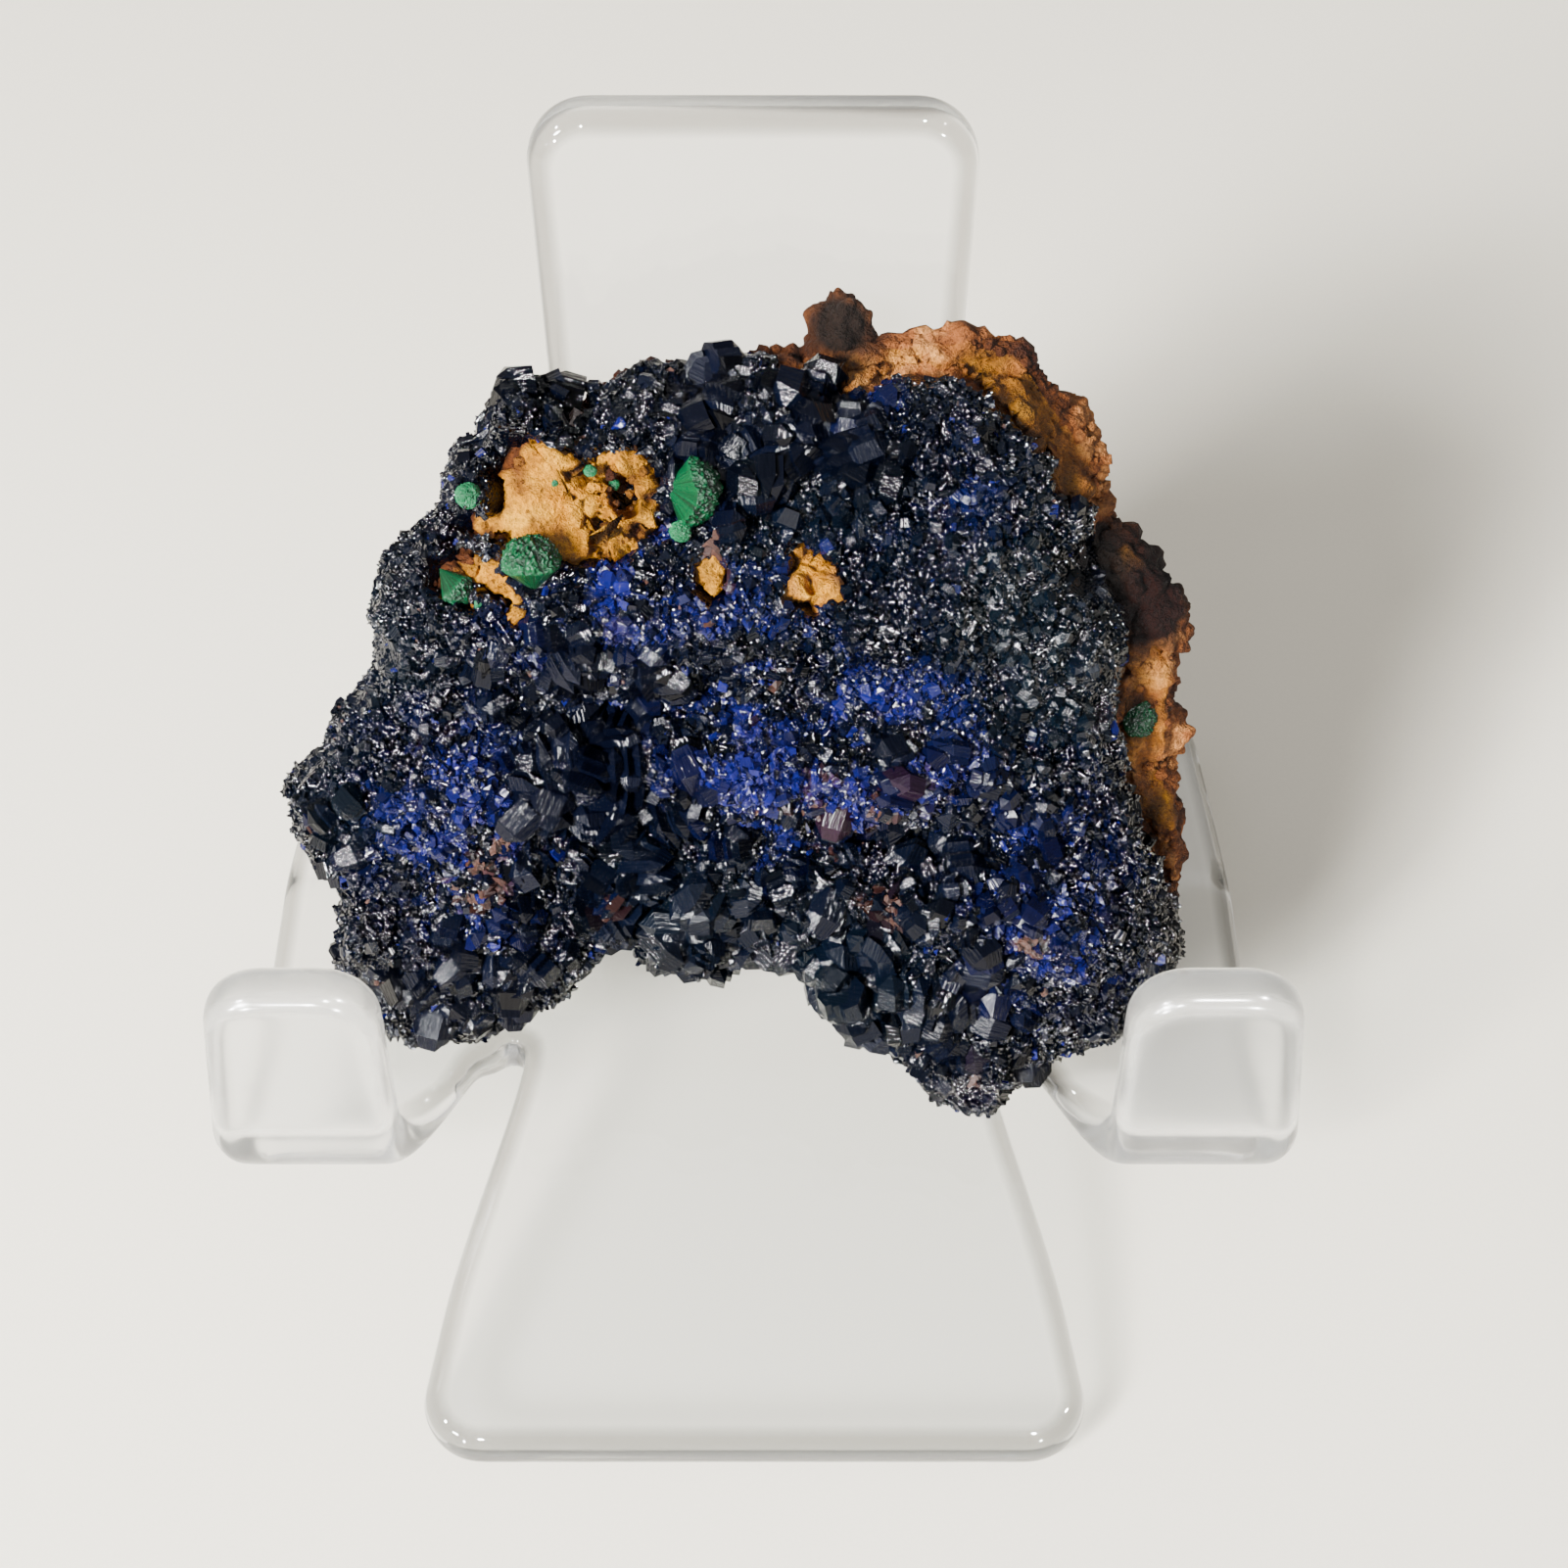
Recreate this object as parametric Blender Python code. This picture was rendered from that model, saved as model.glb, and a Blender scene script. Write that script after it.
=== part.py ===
"""Azurite crystals on limonite rock with malachite tufts, held up by a clear one-piece display easel.

Sizes are in millimetres and become metres when a mesh is made. +Z is up, -Y is the front.
The stone is worked out in its own leaning frame: u to the right, w up its face, n out of its face.
"""

import math

import bmesh
import bpy
import numpy as np
from mathutils import Matrix, Vector

MM = 0.001

ORIGIN_SHIFT = 0.67  # along Y, so that the origin is under the middle of the whole

# ---- Easel: one acrylic sheet, cut and bent ----
SHEET = 3.2  # thickness, with fully rounded edges
EDGE_STEPS = (-90.0, -45.0, 0.0, 45.0, 90.0)  # slopes round the rounded edge, in degrees
BRIDGE_Z = 6.0  # middle of the sheet where all the strips meet
BRIDGE_FRONT, BRIDGE_REAR = -4.5, 7.0
FOOT_LENGTH, FOOT_HALF, FOOT_ROOT_HALF = 23.6, 17.9, 13.3
LEG_LENGTH, LEG_INNER, LEG_OUTER = 19.9, 19.0, 28.7
ARM_INNER, ARM_OUTER, ARM_TIP_OUTER = 19.8, 30.2, 29.2
HOOK_DIP, HOOK_RADIUS, HOOK_LIMB = 30.0, 3.2, 13.0
REST_LEAN, REST_RADIUS, REST_LIMB = 12.0, 4.0, 46.0
REST_ROOT_HALF, REST_TOP_HALF = 9.6, 11.7
NOTCH_RADIUS = 0.8
CORNER = 3.2
FOLD_STEP = 16.0  # most degrees between the facets of a bend
SOLE = 0.2  # how much of each rounded foot is ground away to a flat
GENTLE_RADIUS = 9.0  # bend where the foot and the rear legs leave the bridge

# ---- Stone: place and lean ----
STONE_AT = (0.0, 2.35, 27.7)
STONE_LEAN = 30.0
DOME = 5.4
CRUST_THICKNESS = 2.3
SKIRT, SKIRT_SLOPE = 5.2, 0.15  # how far the crust reaches back round the rim; deeper towards the foot
ROCK_DEPTH, ROCK_DEPTH_SLOPE = 8.5, 0.17
UNDERSIDE_Z = 7.95  # the stone's underside is worn level where it stands on the bridge
GAP = 0.4  # between solids that touch
ROCK_INSET = 2.2
RINGS = 11  # rings of the crust's face; ring k has 6k points
ROCK_RINGS = 7

# Outline of the crystal crust in (u, w), anticlockwise from the right.
CRUST_OUTLINE = (
    (19.7, 1.5), (19.9, 4.9), (18.2, 8.2), (17.8, 13.0), (15.0, 17.0), (12.2, 18.6), (7.2, 18.6), (4.4, 18.2),
    (2.4, 18.8), (0.0, 18.8), (-2.7, 18.0), (-5.3, 18.2), (-6.9, 17.8), (-9.1, 15.8), (-10.1, 17.0),
    (-12.2, 17.0), (-14.4, 15.3), (-16.0, 13.0), (-16.2, 11.0), (-18.6, 8.8), (-20.2, 6.0), (-20.5, 2.6),
    (-22.1, -0.2), (-23.4, -1.8), (-25.2, -4.9), (-25.0, -6.9), (-22.3, -10.2), (-23.1, -11.6), (-22.9, -13.9),
    (-21.0, -17.5), (-19.4, -19.0), (-14.4, -18.0), (-12.0, -16.3), (-9.6, -13.6), (-7.4, -12.8),
    (-6.1, -14.0), (-3.7, -14.8), (0.5, -13.8), (3.2, -14.8), (3.9, -16.8), (6.9, -19.2), (8.8, -20.0),
    (10.6, -22.3), (13.3, -22.6), (14.1, -21.4), (16.8, -20.0), (20.6, -18.4), (23.4, -14.6), (23.2, -12.0),
    (22.4, -9.0), (21.0, -6.0), (20.2, -3.5),
)
OUTLINE_INSET = 0.2  # the crystals reach this much further
# The rock stands past the crust only on the right and along the top. Anticlockwise from the lower right.
ROCK_OUTLINE = (
    (22.4, -13.0), (23.2, -9.4), (22.8, -6.0), (22.2, -2.7), (22.2, 0.0), (22.3, 3.0), (21.6, 6.6), (19.6, 9.3),
    (18.2, 11.5), (17.6, 14.2), (15.4, 16.9), (13.6, 18.9), (10.8, 19.6), (7.0, 19.4), (4.0, 18.9), (0.0, 18.2),
)

# Lumps (+) and hollows (-) of the face: u, w, half-length, half-width, height, turn in degrees.
RELIEF = (
    (0.0, 6.3, 16.0, 2.3, 1.7, 0.0), (-7.6, 1.1, 8.5, 1.8, -2.1, 4.0), (4.1, -1.8, 10.5, 2.4, 2.2, -3.0),
    (-17.0, -6.2, 4.8, 4.6, 2.0, 0.0), (-7.2, -5.0, 3.2, 2.6, -1.8, 20.0), (9.6, -5.8, 6.6, 1.9, -2.7, -6.0),
    (16.4, -12.0, 5.6, 5.0, 2.2, 0.0), (-15.5, -13.6, 5.0, 2.8, 1.3, 0.0), (-3.2, -8.2, 2.4, 2.2, 1.8, 0.0),
    (-4.2, -11.8, 2.2, 1.9, 1.4, 0.0), (1.2, -10.2, 2.3, 2.0, 1.3, 0.0), (11.8, -20.0, 2.4, 2.0, 1.5, 0.0),
    (6.4, -14.6, 2.2, 1.8, 1.2, 0.0), (4.0, 12.4, 6.0, 2.6, -1.9, 8.0), (-9.2, 12.7, 4.4, 3.4, -1.2, 0.0),
    (1.5, 17.2, 9.0, 1.5, 1.0, 0.0), (14.2, 12.6, 3.0, 3.6, 1.1, 0.0), (17.3, 9.0, 1.6, 1.6, -1.6, 0.0),
    (-13.0, -1.0, 2.4, 1.6, -1.3, 0.0), (-11.0, -9.0, 3.0, 1.5, -1.2, -30.0), (9.0, -10.4, 2.4, 2.0, 0.9, 0.0),
)
# Where bare rock comes up through the crust: u, w, radius.
BARE_ROCK = (
    (-11.3, 14.4, 2.6), (-10.8, 12.2, 3.0), (-9.0, 10.5, 2.3), (-5.8, 14.2, 1.5), (-5.7, 11.6, 2.0),
    (-7.7, 13.3, 2.2), (-14.4, 9.9, 1.4), (-13.4, 8.4, 1.3), (-2.4, 9.1, 1.2), (3.1, 9.1, 1.6),
)
BARE_RISE = 3.1
# Lumps fused to the rock: u, w, n, radius, stretch along w, point (0 is round and 1 is sharp).
ROCK_LUMPS = (
    (4.6, 18.6, -2.9, 2.0, 1.7, 0.5), (20.2, 8.0, -3.0, 2.6, 1.0, 0.0), (21.4, 4.6, -3.2, 2.6, 1.1, 0.0),
    (21.6, -1.9, -3.6, 2.3, 1.0, 0.2), (16.2, 14.8, -3.2, 2.1, 1.0, 0.1),
)
# Malachite tufts: u, w, sink into the face, radius, length, fan turn in degrees.
MALACHITE = (
    (-2.9, 13.5, 0.4, 1.15, 2.4, 100.0), (-11.5, 9.7, 0.2, 1.5, 2.0, 30.0), (-14.4, 12.4, 0.2, 0.75, 1.4, 0.0),
    (-4.2, 11.2, 0.2, 0.6, 1.1, 0.0), (-15.4, 8.0, 0.3, 0.8, 1.2, 60.0), (20.7, -0.7, 0.2, 1.0, 1.6, 90.0),
)
# Where the crystals grow large: u, w, reach, growth.
LARGE_CRYSTALS = (
    (1.5, 16.2, 5.5, 1.0), (8.6, 14.0, 4.5, 0.9), (-7.7, -4.9, 4.5, 1.3), (9.3, -6.4, 7.0, 0.8),
    (-3.6, -11.0, 4.5, 0.8), (6.8, -15.0, 5.0, 1.0), (-15.1, -14.0, 5.0, 0.6), (-9.0, 1.4, 5.5, 0.9),
    (-11.2, 16.8, 2.5, 0.8), (-21.6, -5.5, 3.5, 0.6), (12.3, -19.0, 4.0, 0.7),
)
CRYSTAL_COUNT = 130
CRYSTAL_ROOM = 2.1
SEED = 7


# ---- Noise and small helpers ----
def lattice_noise(points, cell, seed):
    """Smooth noise from -1 to 1: values hashed at the corners of a cube lattice and blended between them."""
    scaled = points / cell
    low = np.floor(scaled).astype(np.int64)
    part = scaled - low
    part = part * part * (3 - 2 * part)
    total = np.zeros(points.shape[:-1])
    for corner in np.ndindex(2, 2, 2):
        at = low + np.array(corner)
        mixed = at[..., 0] * 374761393 + at[..., 1] * 668265263 + at[..., 2] * 1274126177 + seed * 974634777
        mixed = (mixed ^ (mixed >> 13)) * 1103515245
        mixed = mixed ^ (mixed >> 16)
        share = np.prod(np.where(np.array(corner) == 1, part, 1 - part), axis=-1)
        total += share * ((mixed & 0xFFFF) / 0x8000 - 1.0)
    return total


def rotation_about(axis, degrees):
    return Matrix.Rotation(math.radians(degrees), 3, axis)


def material(name, colour, roughness, metallic=0.0, transmission=0.0):
    made = bpy.data.materials.new(name)
    made.use_nodes = True
    shader = made.node_tree.nodes["Principled BSDF"]
    shader.inputs["Base Color"].default_value = (*colour, 1.0)
    shader.inputs["Roughness"].default_value = roughness
    shader.inputs["Metallic"].default_value = metallic
    shader.inputs["Transmission Weight"].default_value = transmission
    return made


def object_from(name, points_mm, faces, finish, parent):
    """A mesh object from points in millimetres."""
    mesh = bpy.data.meshes.new(name)
    mesh.from_pydata((np.asarray(points_mm) * MM).tolist(), [], [list(f) for f in faces])
    mesh.validate()
    made = bpy.data.objects.new(name, mesh)
    made.data.materials.append(finish)
    made.parent = parent
    bpy.context.scene.collection.objects.link(made)
    return made


def baked(obj):
    """Replaces the object's mesh by what its modifiers make of it."""
    graph = bpy.context.evaluated_depsgraph_get()
    mesh = bpy.data.meshes.new_from_object(obj.evaluated_get(graph))
    obj.modifiers.clear()
    obj.data = mesh


def combine(obj, other, operation):
    """Boolean of two objects, kept in the first; the second is removed."""
    modifier = obj.modifiers.new(operation.lower(), "BOOLEAN")
    modifier.operation = operation
    modifier.object = other
    modifier.use_self = operation == "UNION"
    bpy.context.view_layer.update()
    baked(obj)
    bpy.data.objects.remove(other)


# ---- Easel ----
class Path:
    """Middle line of a bent strip in the Y-Z plane, read by distance from its start."""

    def __init__(self, start, heading, bends):
        """heading is +1 towards the back, -1 towards the front. bends: (length, turn upwards in degrees)."""
        self.rows = []
        y, z, angle, done = start[0], start[1], 0.0, 0.0
        for length, turn in bends:
            self.rows.append((done, y, z, angle, length, turn))
            y, z = self.along(length, y, z, angle, length, turn, heading)
            angle += turn
            done += length
        self.heading = heading
        self.length = done

    @staticmethod
    def along(distance, y, z, angle, length, turn, heading):
        """Straight where turn is 0, and otherwise along the arc that turns evenly over its length."""
        a = math.radians(angle)
        if abs(turn) < 1e-9:
            return y + heading * distance * math.cos(a), z + distance * math.sin(a)
        radius = length / math.radians(turn)
        b = a + distance / radius
        return y + heading * radius * (math.sin(b) - math.sin(a)), z + radius * (math.cos(a) - math.cos(b))

    def place(self, distance, lift):
        """(y, z) at this distance along the strip and this height above its middle."""
        row = max((r for r in self.rows if r[0] <= distance + 1e-9), default=self.rows[0], key=lambda r: r[0])
        done, y, z, angle, length, turn = row
        inside = distance - done
        y, z = self.along(inside, y, z, angle, length, turn, self.heading)
        a = math.radians(angle + (turn * min(inside / length, 1.0) if length else 0.0))
        return y - self.heading * lift * math.sin(a), z + lift * math.cos(a)

    def stations(self, step):
        """Distances where the strip is folded: the ends of each bend, and every few degrees inside it."""
        found = []
        for done, _, _, _, length, turn in self.rows:
            count = max(1, round(abs(turn) / step))
            found += [done + length * k / count for k in range(count + 1)] if turn else []
        return found


def arc_length(radius, degrees):
    return radius * math.radians(abs(degrees))


def droop(length, radius):
    """The angle at which a strip of this length leaves the bridge to end on its rounded edge at the table."""
    drop = BRIDGE_Z - (SHEET / 2 - SOLE)
    angle = 0.1
    for _ in range(30):
        reach = length - SHEET / 2 - radius * angle / 2
        angle = math.asin(drop / reach)
    return math.degrees(angle)


def strip_paths():
    """The bent paths of the centre strip and the side strips, forwards and backwards from the bridge."""
    foot = -droop(FOOT_LENGTH, GENTLE_RADIUS)
    leg = -droop(LEG_LENGTH, GENTLE_RADIUS)
    foot_arc, leg_arc = arc_length(GENTLE_RADIUS, foot), arc_length(GENTLE_RADIUS, leg)
    rest_turn = 90.0 - REST_LEAN
    hook_turn = 90.0 + HOOK_DIP
    front, rear = (BRIDGE_FRONT, BRIDGE_Z), (BRIDGE_REAR, BRIDGE_Z)
    return {
        "foot": Path(front, -1, ((foot_arc, foot), (FOOT_LENGTH - foot_arc, 0))),
        "arm": Path(front, -1, (
            (arc_length(HOOK_RADIUS, HOOK_DIP), -HOOK_DIP),
            (arc_length(HOOK_RADIUS, hook_turn), hook_turn),
            (HOOK_LIMB, 0),
        )),
        "leg": Path(rear, 1, ((leg_arc, leg), (LEG_LENGTH - leg_arc, 0))),
        "rest": Path(rear, 1, ((arc_length(REST_RADIUS, rest_turn), rest_turn), (REST_LIMB, 0))),
    }


def round_corner(centre, radius, start, end, steps):
    """Points on an arc from start to end, in degrees."""
    angles = np.radians(np.linspace(start, end, steps + 1))
    return [(centre[0] + radius * math.cos(a), centre[1] + radius * math.sin(a)) for a in angles]


def foot_half_width(share):
    """Half-width of the foot from the bridge (0) to its front edge (1): a bell that flares and then runs straight."""
    return FOOT_ROOT_HALF + (FOOT_HALF - FOOT_ROOT_HALF) * math.sin(share * math.pi / 2) ** 1.3


def arm_inner_edge(share):
    """Inner edge of an arm from the bridge (0) to the bottom of its hook (1)."""
    root = FOOT_ROOT_HALF + 2 * NOTCH_RADIUS
    return root + (ARM_INNER - root) * math.sin(share * math.pi / 2)


def blank_outline(paths):
    """Outline of the flat sheet before bending, as (x, s), anticlockwise. s is 0 at the bridge's front line."""
    front = -paths["foot"].length
    bridge = BRIDGE_REAR - BRIDGE_FRONT
    tip = -paths["arm"].length
    leg_end = bridge + paths["leg"].length
    top = bridge + paths["rest"].length
    half = round_corner((FOOT_HALF - CORNER, front + CORNER), CORNER, -90, 0, 4)
    half += [(foot_half_width(q), q * front) for q in (0.62, 0.46, 0.32, 0.19, 0.08)]
    half += round_corner((FOOT_ROOT_HALF + NOTCH_RADIUS, -NOTCH_RADIUS), NOTCH_RADIUS, 180, 0, 4)
    hook = -(paths["arm"].length - HOOK_LIMB)
    half += [(arm_inner_edge(q), q * hook) for q in (0.25, 0.45, 0.7, 1.0)]
    half += round_corner((ARM_INNER + CORNER, tip + CORNER), CORNER, 180, 270, 4)
    half += round_corner((ARM_TIP_OUTER - CORNER, tip + CORNER), CORNER, -90, 0, 4)
    half += [(ARM_OUTER, hook), (LEG_OUTER + 0.5, 0.35 * hook), (LEG_OUTER, 1.0)]
    half += round_corner((LEG_OUTER - CORNER, leg_end - CORNER), CORNER, 0, 90, 4)
    half += round_corner((LEG_INNER + CORNER, leg_end - CORNER), CORNER, 90, 180, 4)
    notch = (LEG_INNER - REST_ROOT_HALF) / 2
    half += round_corner((REST_ROOT_HALF + notch, bridge + 0.3), notch, 0, -90, 3)[:-1]
    half += round_corner((REST_ROOT_HALF + notch, bridge + 0.3), notch, -90, -180, 3)
    half += round_corner((REST_TOP_HALF - CORNER, top - CORNER), CORNER, 0, 90, 4)
    right = [p for k, p in enumerate(half) if k == 0 or math.dist(p, half[k - 1]) > 0.05]
    return np.array(right + [(-x, s) for x, s in reversed(right)])


def inset(loop, distance):
    """The outline moved inwards, each corner along the mitre of its two edges."""
    before = loop - np.roll(loop, 1, axis=0)
    after = np.roll(loop, -1, axis=0) - loop
    normals = []
    for edge in (before, after):
        edge = edge / np.linalg.norm(edge, axis=1)[:, None]
        normals.append(np.stack([-edge[:, 1], edge[:, 0]], axis=1))
    mitre = (normals[0] + normals[1]) / (1 + (normals[0] * normals[1]).sum(axis=1))[:, None]
    return loop + distance * mitre


def strip_of(x, s, paths):
    """Which bent path a point of the flat sheet follows, and its distance along it."""
    bridge = BRIDGE_REAR - BRIDGE_FRONT
    if s < 0:
        share = min(1.0, -s / paths["foot"].length)
        return ("foot" if abs(x) < foot_half_width(share) + NOTCH_RADIUS else "arm"), -s
    if s > bridge:
        return ("rest" if abs(x) < (LEG_INNER + REST_ROOT_HALF) / 2 else "leg"), s - bridge
    return None, s


def score_folds(mesh, paths):
    """Cuts the flat sheet's faces across at every fold: first where the strips part, then strip by strip."""
    bridge = BRIDGE_REAR - BRIDGE_FRONT
    cut_across(mesh, mesh.faces[:], 0.0)
    cut_across(mesh, mesh.faces[:], bridge)
    for name, path in paths.items():
        for distance in path.stations(FOLD_STEP):
            middles = ((face, face.calc_center_median() / MM) for face in mesh.faces)
            strip = [face for face, at in middles if strip_of(at.x, at.y, paths)[0] == name]
            cut_across(mesh, strip, -distance if name in ("foot", "arm") else bridge + distance)


def cut_across(mesh, faces, s):
    """Cuts these faces along a line across the sheet."""
    edges = list({edge for face in faces for edge in face.edges})
    verts = list({vert for face in faces for vert in face.verts})
    bmesh.ops.bisect_plane(mesh, geom=verts + edges + faces, plane_co=(0, s * MM, 0), plane_no=(0, 1, 0), dist=2e-5)


def bend_sheet(mesh, paths):
    """Moves every point of the flat sheet to its place on the bent strips."""
    for vertex in mesh.verts:
        x, s, lift = (c / MM for c in vertex.co)
        strip, distance = strip_of(x, s, paths)
        if strip is None:
            y, z = BRIDGE_FRONT + distance, BRIDGE_Z + lift
        else:
            y, z = paths[strip].place(distance, lift)
        vertex.co = Vector((x, y, z)) * MM


def cut_below_table(mesh):
    """Grinds the rounded feet flat at the height of the table."""
    everything = mesh.verts[:] + mesh.edges[:] + mesh.faces[:]
    bmesh.ops.bisect_plane(mesh, geom=everything, plane_co=(0, 0, 0), plane_no=(0, 0, -1), clear_outer=True)
    rims = [e for e in mesh.edges if e.is_boundary]
    bmesh.ops.holes_fill(mesh, edges=rims, sides=0)


def make_easel(parent):
    """The whole easel from one flat sheet: rounded edges first, then the folds, then the flats."""
    paths = strip_paths()
    outline = blank_outline(paths)
    count = len(outline)
    points = []
    for slope in EDGE_STEPS:
        a = math.radians(slope)
        loop = inset(outline, SHEET / 2 * (1 - math.cos(a)))
        points += [(x, s, SHEET / 2 * math.sin(a)) for x, s in loop]
    faces = [list(range(count))[::-1], list(range((len(EDGE_STEPS) - 1) * count, len(EDGE_STEPS) * count))]
    for ring in range(len(EDGE_STEPS) - 1):
        low = ring * count
        faces += [
            [low + k, low + (k + 1) % count, low + count + (k + 1) % count, low + count + k] for k in range(count)
        ]
    finish = material("clear_acrylic", (0.93, 0.95, 0.95), 0.03, transmission=1.0)
    easel = object_from("easel_stand", points, faces, finish, parent)
    mesh = bmesh.new()
    mesh.from_mesh(easel.data)
    score_folds(mesh, paths)
    bend_sheet(mesh, paths)
    cut_below_table(mesh)
    bmesh.ops.recalc_face_normals(mesh, faces=mesh.faces[:])
    bmesh.ops.triangulate(mesh, faces=mesh.faces[:])
    mesh.to_mesh(easel.data)
    mesh.free()
    return easel


# ---- Stone surfaces ----
def polar_reader(outline, inset_by=0.0, outside=None):
    """Radius of an outline at any angle. An open outline reads outside at the angles that it doesn't reach."""
    points = np.array(outline)
    angles = np.arctan2(points[:, 1], points[:, 0])
    order = np.argsort(angles)
    angles, radii = angles[order], np.hypot(points[:, 0], points[:, 1])[order] - inset_by
    turn = 2 * np.pi
    if outside is None:
        angles = np.concatenate([angles[-3:] - turn, angles, angles[:3] + turn])
        radii = np.concatenate([radii[-3:], radii, radii[:3]])
    return lambda theta: np.interp((theta + np.pi) % turn - np.pi, angles, radii, left=outside, right=outside)


crust_radius = polar_reader(CRUST_OUTLINE, OUTLINE_INSET)
rock_own_radius = polar_reader(ROCK_OUTLINE, 0.0, 0.0)


def rock_radius(theta):
    """The rock's outline: its own on the right and along the top, and set in from the crust elsewhere."""
    return np.maximum(crust_radius(theta) - ROCK_INSET, rock_own_radius(theta))


def relief(u, w):
    """Height of the lumps and hollows: a sum of turned bell shapes."""
    total = np.zeros_like(u)
    for cu, cw, length, width, height, turn in RELIEF:
        a = math.radians(turn)
        along = (u - cu) * math.cos(a) + (w - cw) * math.sin(a)
        across = (w - cw) * math.cos(a) - (u - cu) * math.sin(a)
        total += height * np.exp(-((along / length) ** 2) - (across / width) ** 2)
    return total


def bareness(u, w):
    """1 over most of each patch of bare rock, falling to 0 at its edge and outside."""
    found = np.zeros_like(u)
    for cu, cw, radius in BARE_ROCK:
        found = np.maximum(found, 1 - ((u - cu) ** 2 + (w - cw) ** 2) / radius**2)
    return np.clip(2.2 * found, 0, 1)


def face_height(u, w):
    """Height of the crust's face: a dome that falls to 0 at the outline, with the relief fading out near it."""
    share = np.clip(np.hypot(u, w) / crust_radius(np.arctan2(w, u)), 0, 1)
    fade = np.clip(1.6 * (1 - share), 0, 1)
    return DOME * np.sqrt(1 - share**3) + relief(u, w) * fade


def rock_height(u, w):
    """Height of the rock's front: under the crust, and up through it where the rock is bare."""
    return face_height(u, w) - CRUST_THICKNESS + BARE_RISE * bareness(u, w)


def rock_back(u, w, share):
    """The rock's back: thicker towards the foot, and rounded in at its edge."""
    return -(ROCK_DEPTH - ROCK_DEPTH_SLOPE * w) * np.sqrt(1 - 0.7 * share**2)


def disc_points(rings):
    """Angle and share of the radius for a disc of points: one in the middle, then 6k on ring k."""
    angles, shares = [np.zeros(1)], [np.zeros(1)]
    for k in range(1, rings + 1):
        angles.append(np.arange(6 * k) * 2 * np.pi / (6 * k))
        shares.append(np.full(6 * k, k / rings))
    return np.concatenate(angles), np.concatenate(shares)


def disc_faces(rings):
    """Triangles of such a disc, facing +n."""
    faces = []
    for k in range(rings):
        inner, outer = (3 * k * (k - 1) + 1 if k else 0), 3 * k * (k + 1) + 1
        for sector in range(6):
            for j in range(k + 1):
                a = inner + (sector * k + j) % (6 * k) if k else 0
                b = outer + sector * (k + 1) + j
                c = outer + (sector * (k + 1) + j + 1) % (6 * k + 6)
                faces.append((a, b, c))
                if j < k:
                    faces.append((a, c, inner + (sector * k + j + 1) % (6 * k)))
    return faces


def closed_disc(rings, sides, back):
    """Faces of a disc, rows of sides below its rim, and a second disc as its back (or one point if back is 0)."""
    rim = 6 * rings
    first = 3 * rings * (rings - 1) + 1
    total = first + rim
    faces = disc_faces(rings)
    rows = [first] + [total + k * rim for k in range(sides)]
    if back:
        start = total + sides * rim
        rows.append(start + first)
        faces += [tuple(start + i for i in reversed(f)) for f in disc_faces(rings)]
    for low, high in zip(rows[1:], rows):
        for j in range(rim):
            after = (j + 1) % rim
            faces += [(high + j, low + j, low + after), (high + j, low + after, high + after)]
    if not back:
        faces += [(rows[-1] + j, rows[-1] + rim, rows[-1] + (j + 1) % rim) for j in range(rim)]
    return faces


def roughen(points, seed, layers):
    """Moves points in every direction by layers of noise, each (cell, height)."""
    moved = points.copy()
    for layer, (cell, height) in enumerate(layers):
        for axis in range(3):
            moved[..., axis] += height * lattice_noise(points, cell, seed + 10 * layer + axis)
    return moved


def levelled(points):
    """Points of the stone raised along w so that none is lower than the underside."""
    lean = math.radians(STONE_LEAN)
    lowest = (UNDERSIDE_Z - STONE_AT[2] - points[:, 2] * math.sin(lean)) / math.cos(lean)
    raised = points.copy()
    raised[:, 1] = np.maximum(points[:, 1], lowest)
    return raised


def crust_body():
    """Closed body of the crust before the rock is cut out of it: face, skirt and a plain back."""
    theta, share = disc_points(RINGS)
    radius = crust_radius(theta) * share**0.95
    u, w = radius * np.cos(theta), radius * np.sin(theta)
    face = np.stack([u, w, face_height(u, w)], axis=-1)
    rim = face[-6 * RINGS :]
    depth = SKIRT - SKIRT_SLOPE * rim[:, 1]
    rows = [face]
    for down, reach in ((0.45, 1.015), (1.0, 0.96)):
        rows.append(np.stack([rim[:, 0] * reach, rim[:, 1] * reach, -down * depth], axis=-1))
    points = levelled(roughen(np.concatenate(rows), SEED, ((3.0, 0.5), (1.2, 0.45))))
    points = np.concatenate([points, [[0.0, 0.0, -SKIRT]]])
    return points, closed_disc(RINGS, 2, 0)


def rock_body(grow):
    """Closed body of the rock: under the crust in front, rough and pitted behind. grow swells it."""
    theta, share = disc_points(ROCK_RINGS)
    radius = rock_radius(theta)
    u, w = radius * share * np.cos(theta), radius * share * np.sin(theta)
    front = np.stack([u, w, rock_height(u, w)], axis=-1)
    back = np.stack([u * 0.96, w * 0.96, rock_back(u, w, share)], axis=-1)
    rim, back_rim = front[-6 * ROCK_RINGS :], back[-6 * ROCK_RINGS :]
    middle = (rim + back_rim) / 2 * (1.035, 1.035, 1)
    points = np.concatenate([
        roughen(front, SEED + 100, ((4.0, 0.35), (1.7, 0.25))),
        roughen(middle, SEED + 200, ((4.0, 0.6), (1.7, 0.35))),
        roughen(back, SEED + 300, ((5.0, 0.9), (2.2, 0.55))),
    ])
    faces = closed_disc(ROCK_RINGS, 1, 1)
    return swollen(levelled(points), faces, grow), faces


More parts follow.
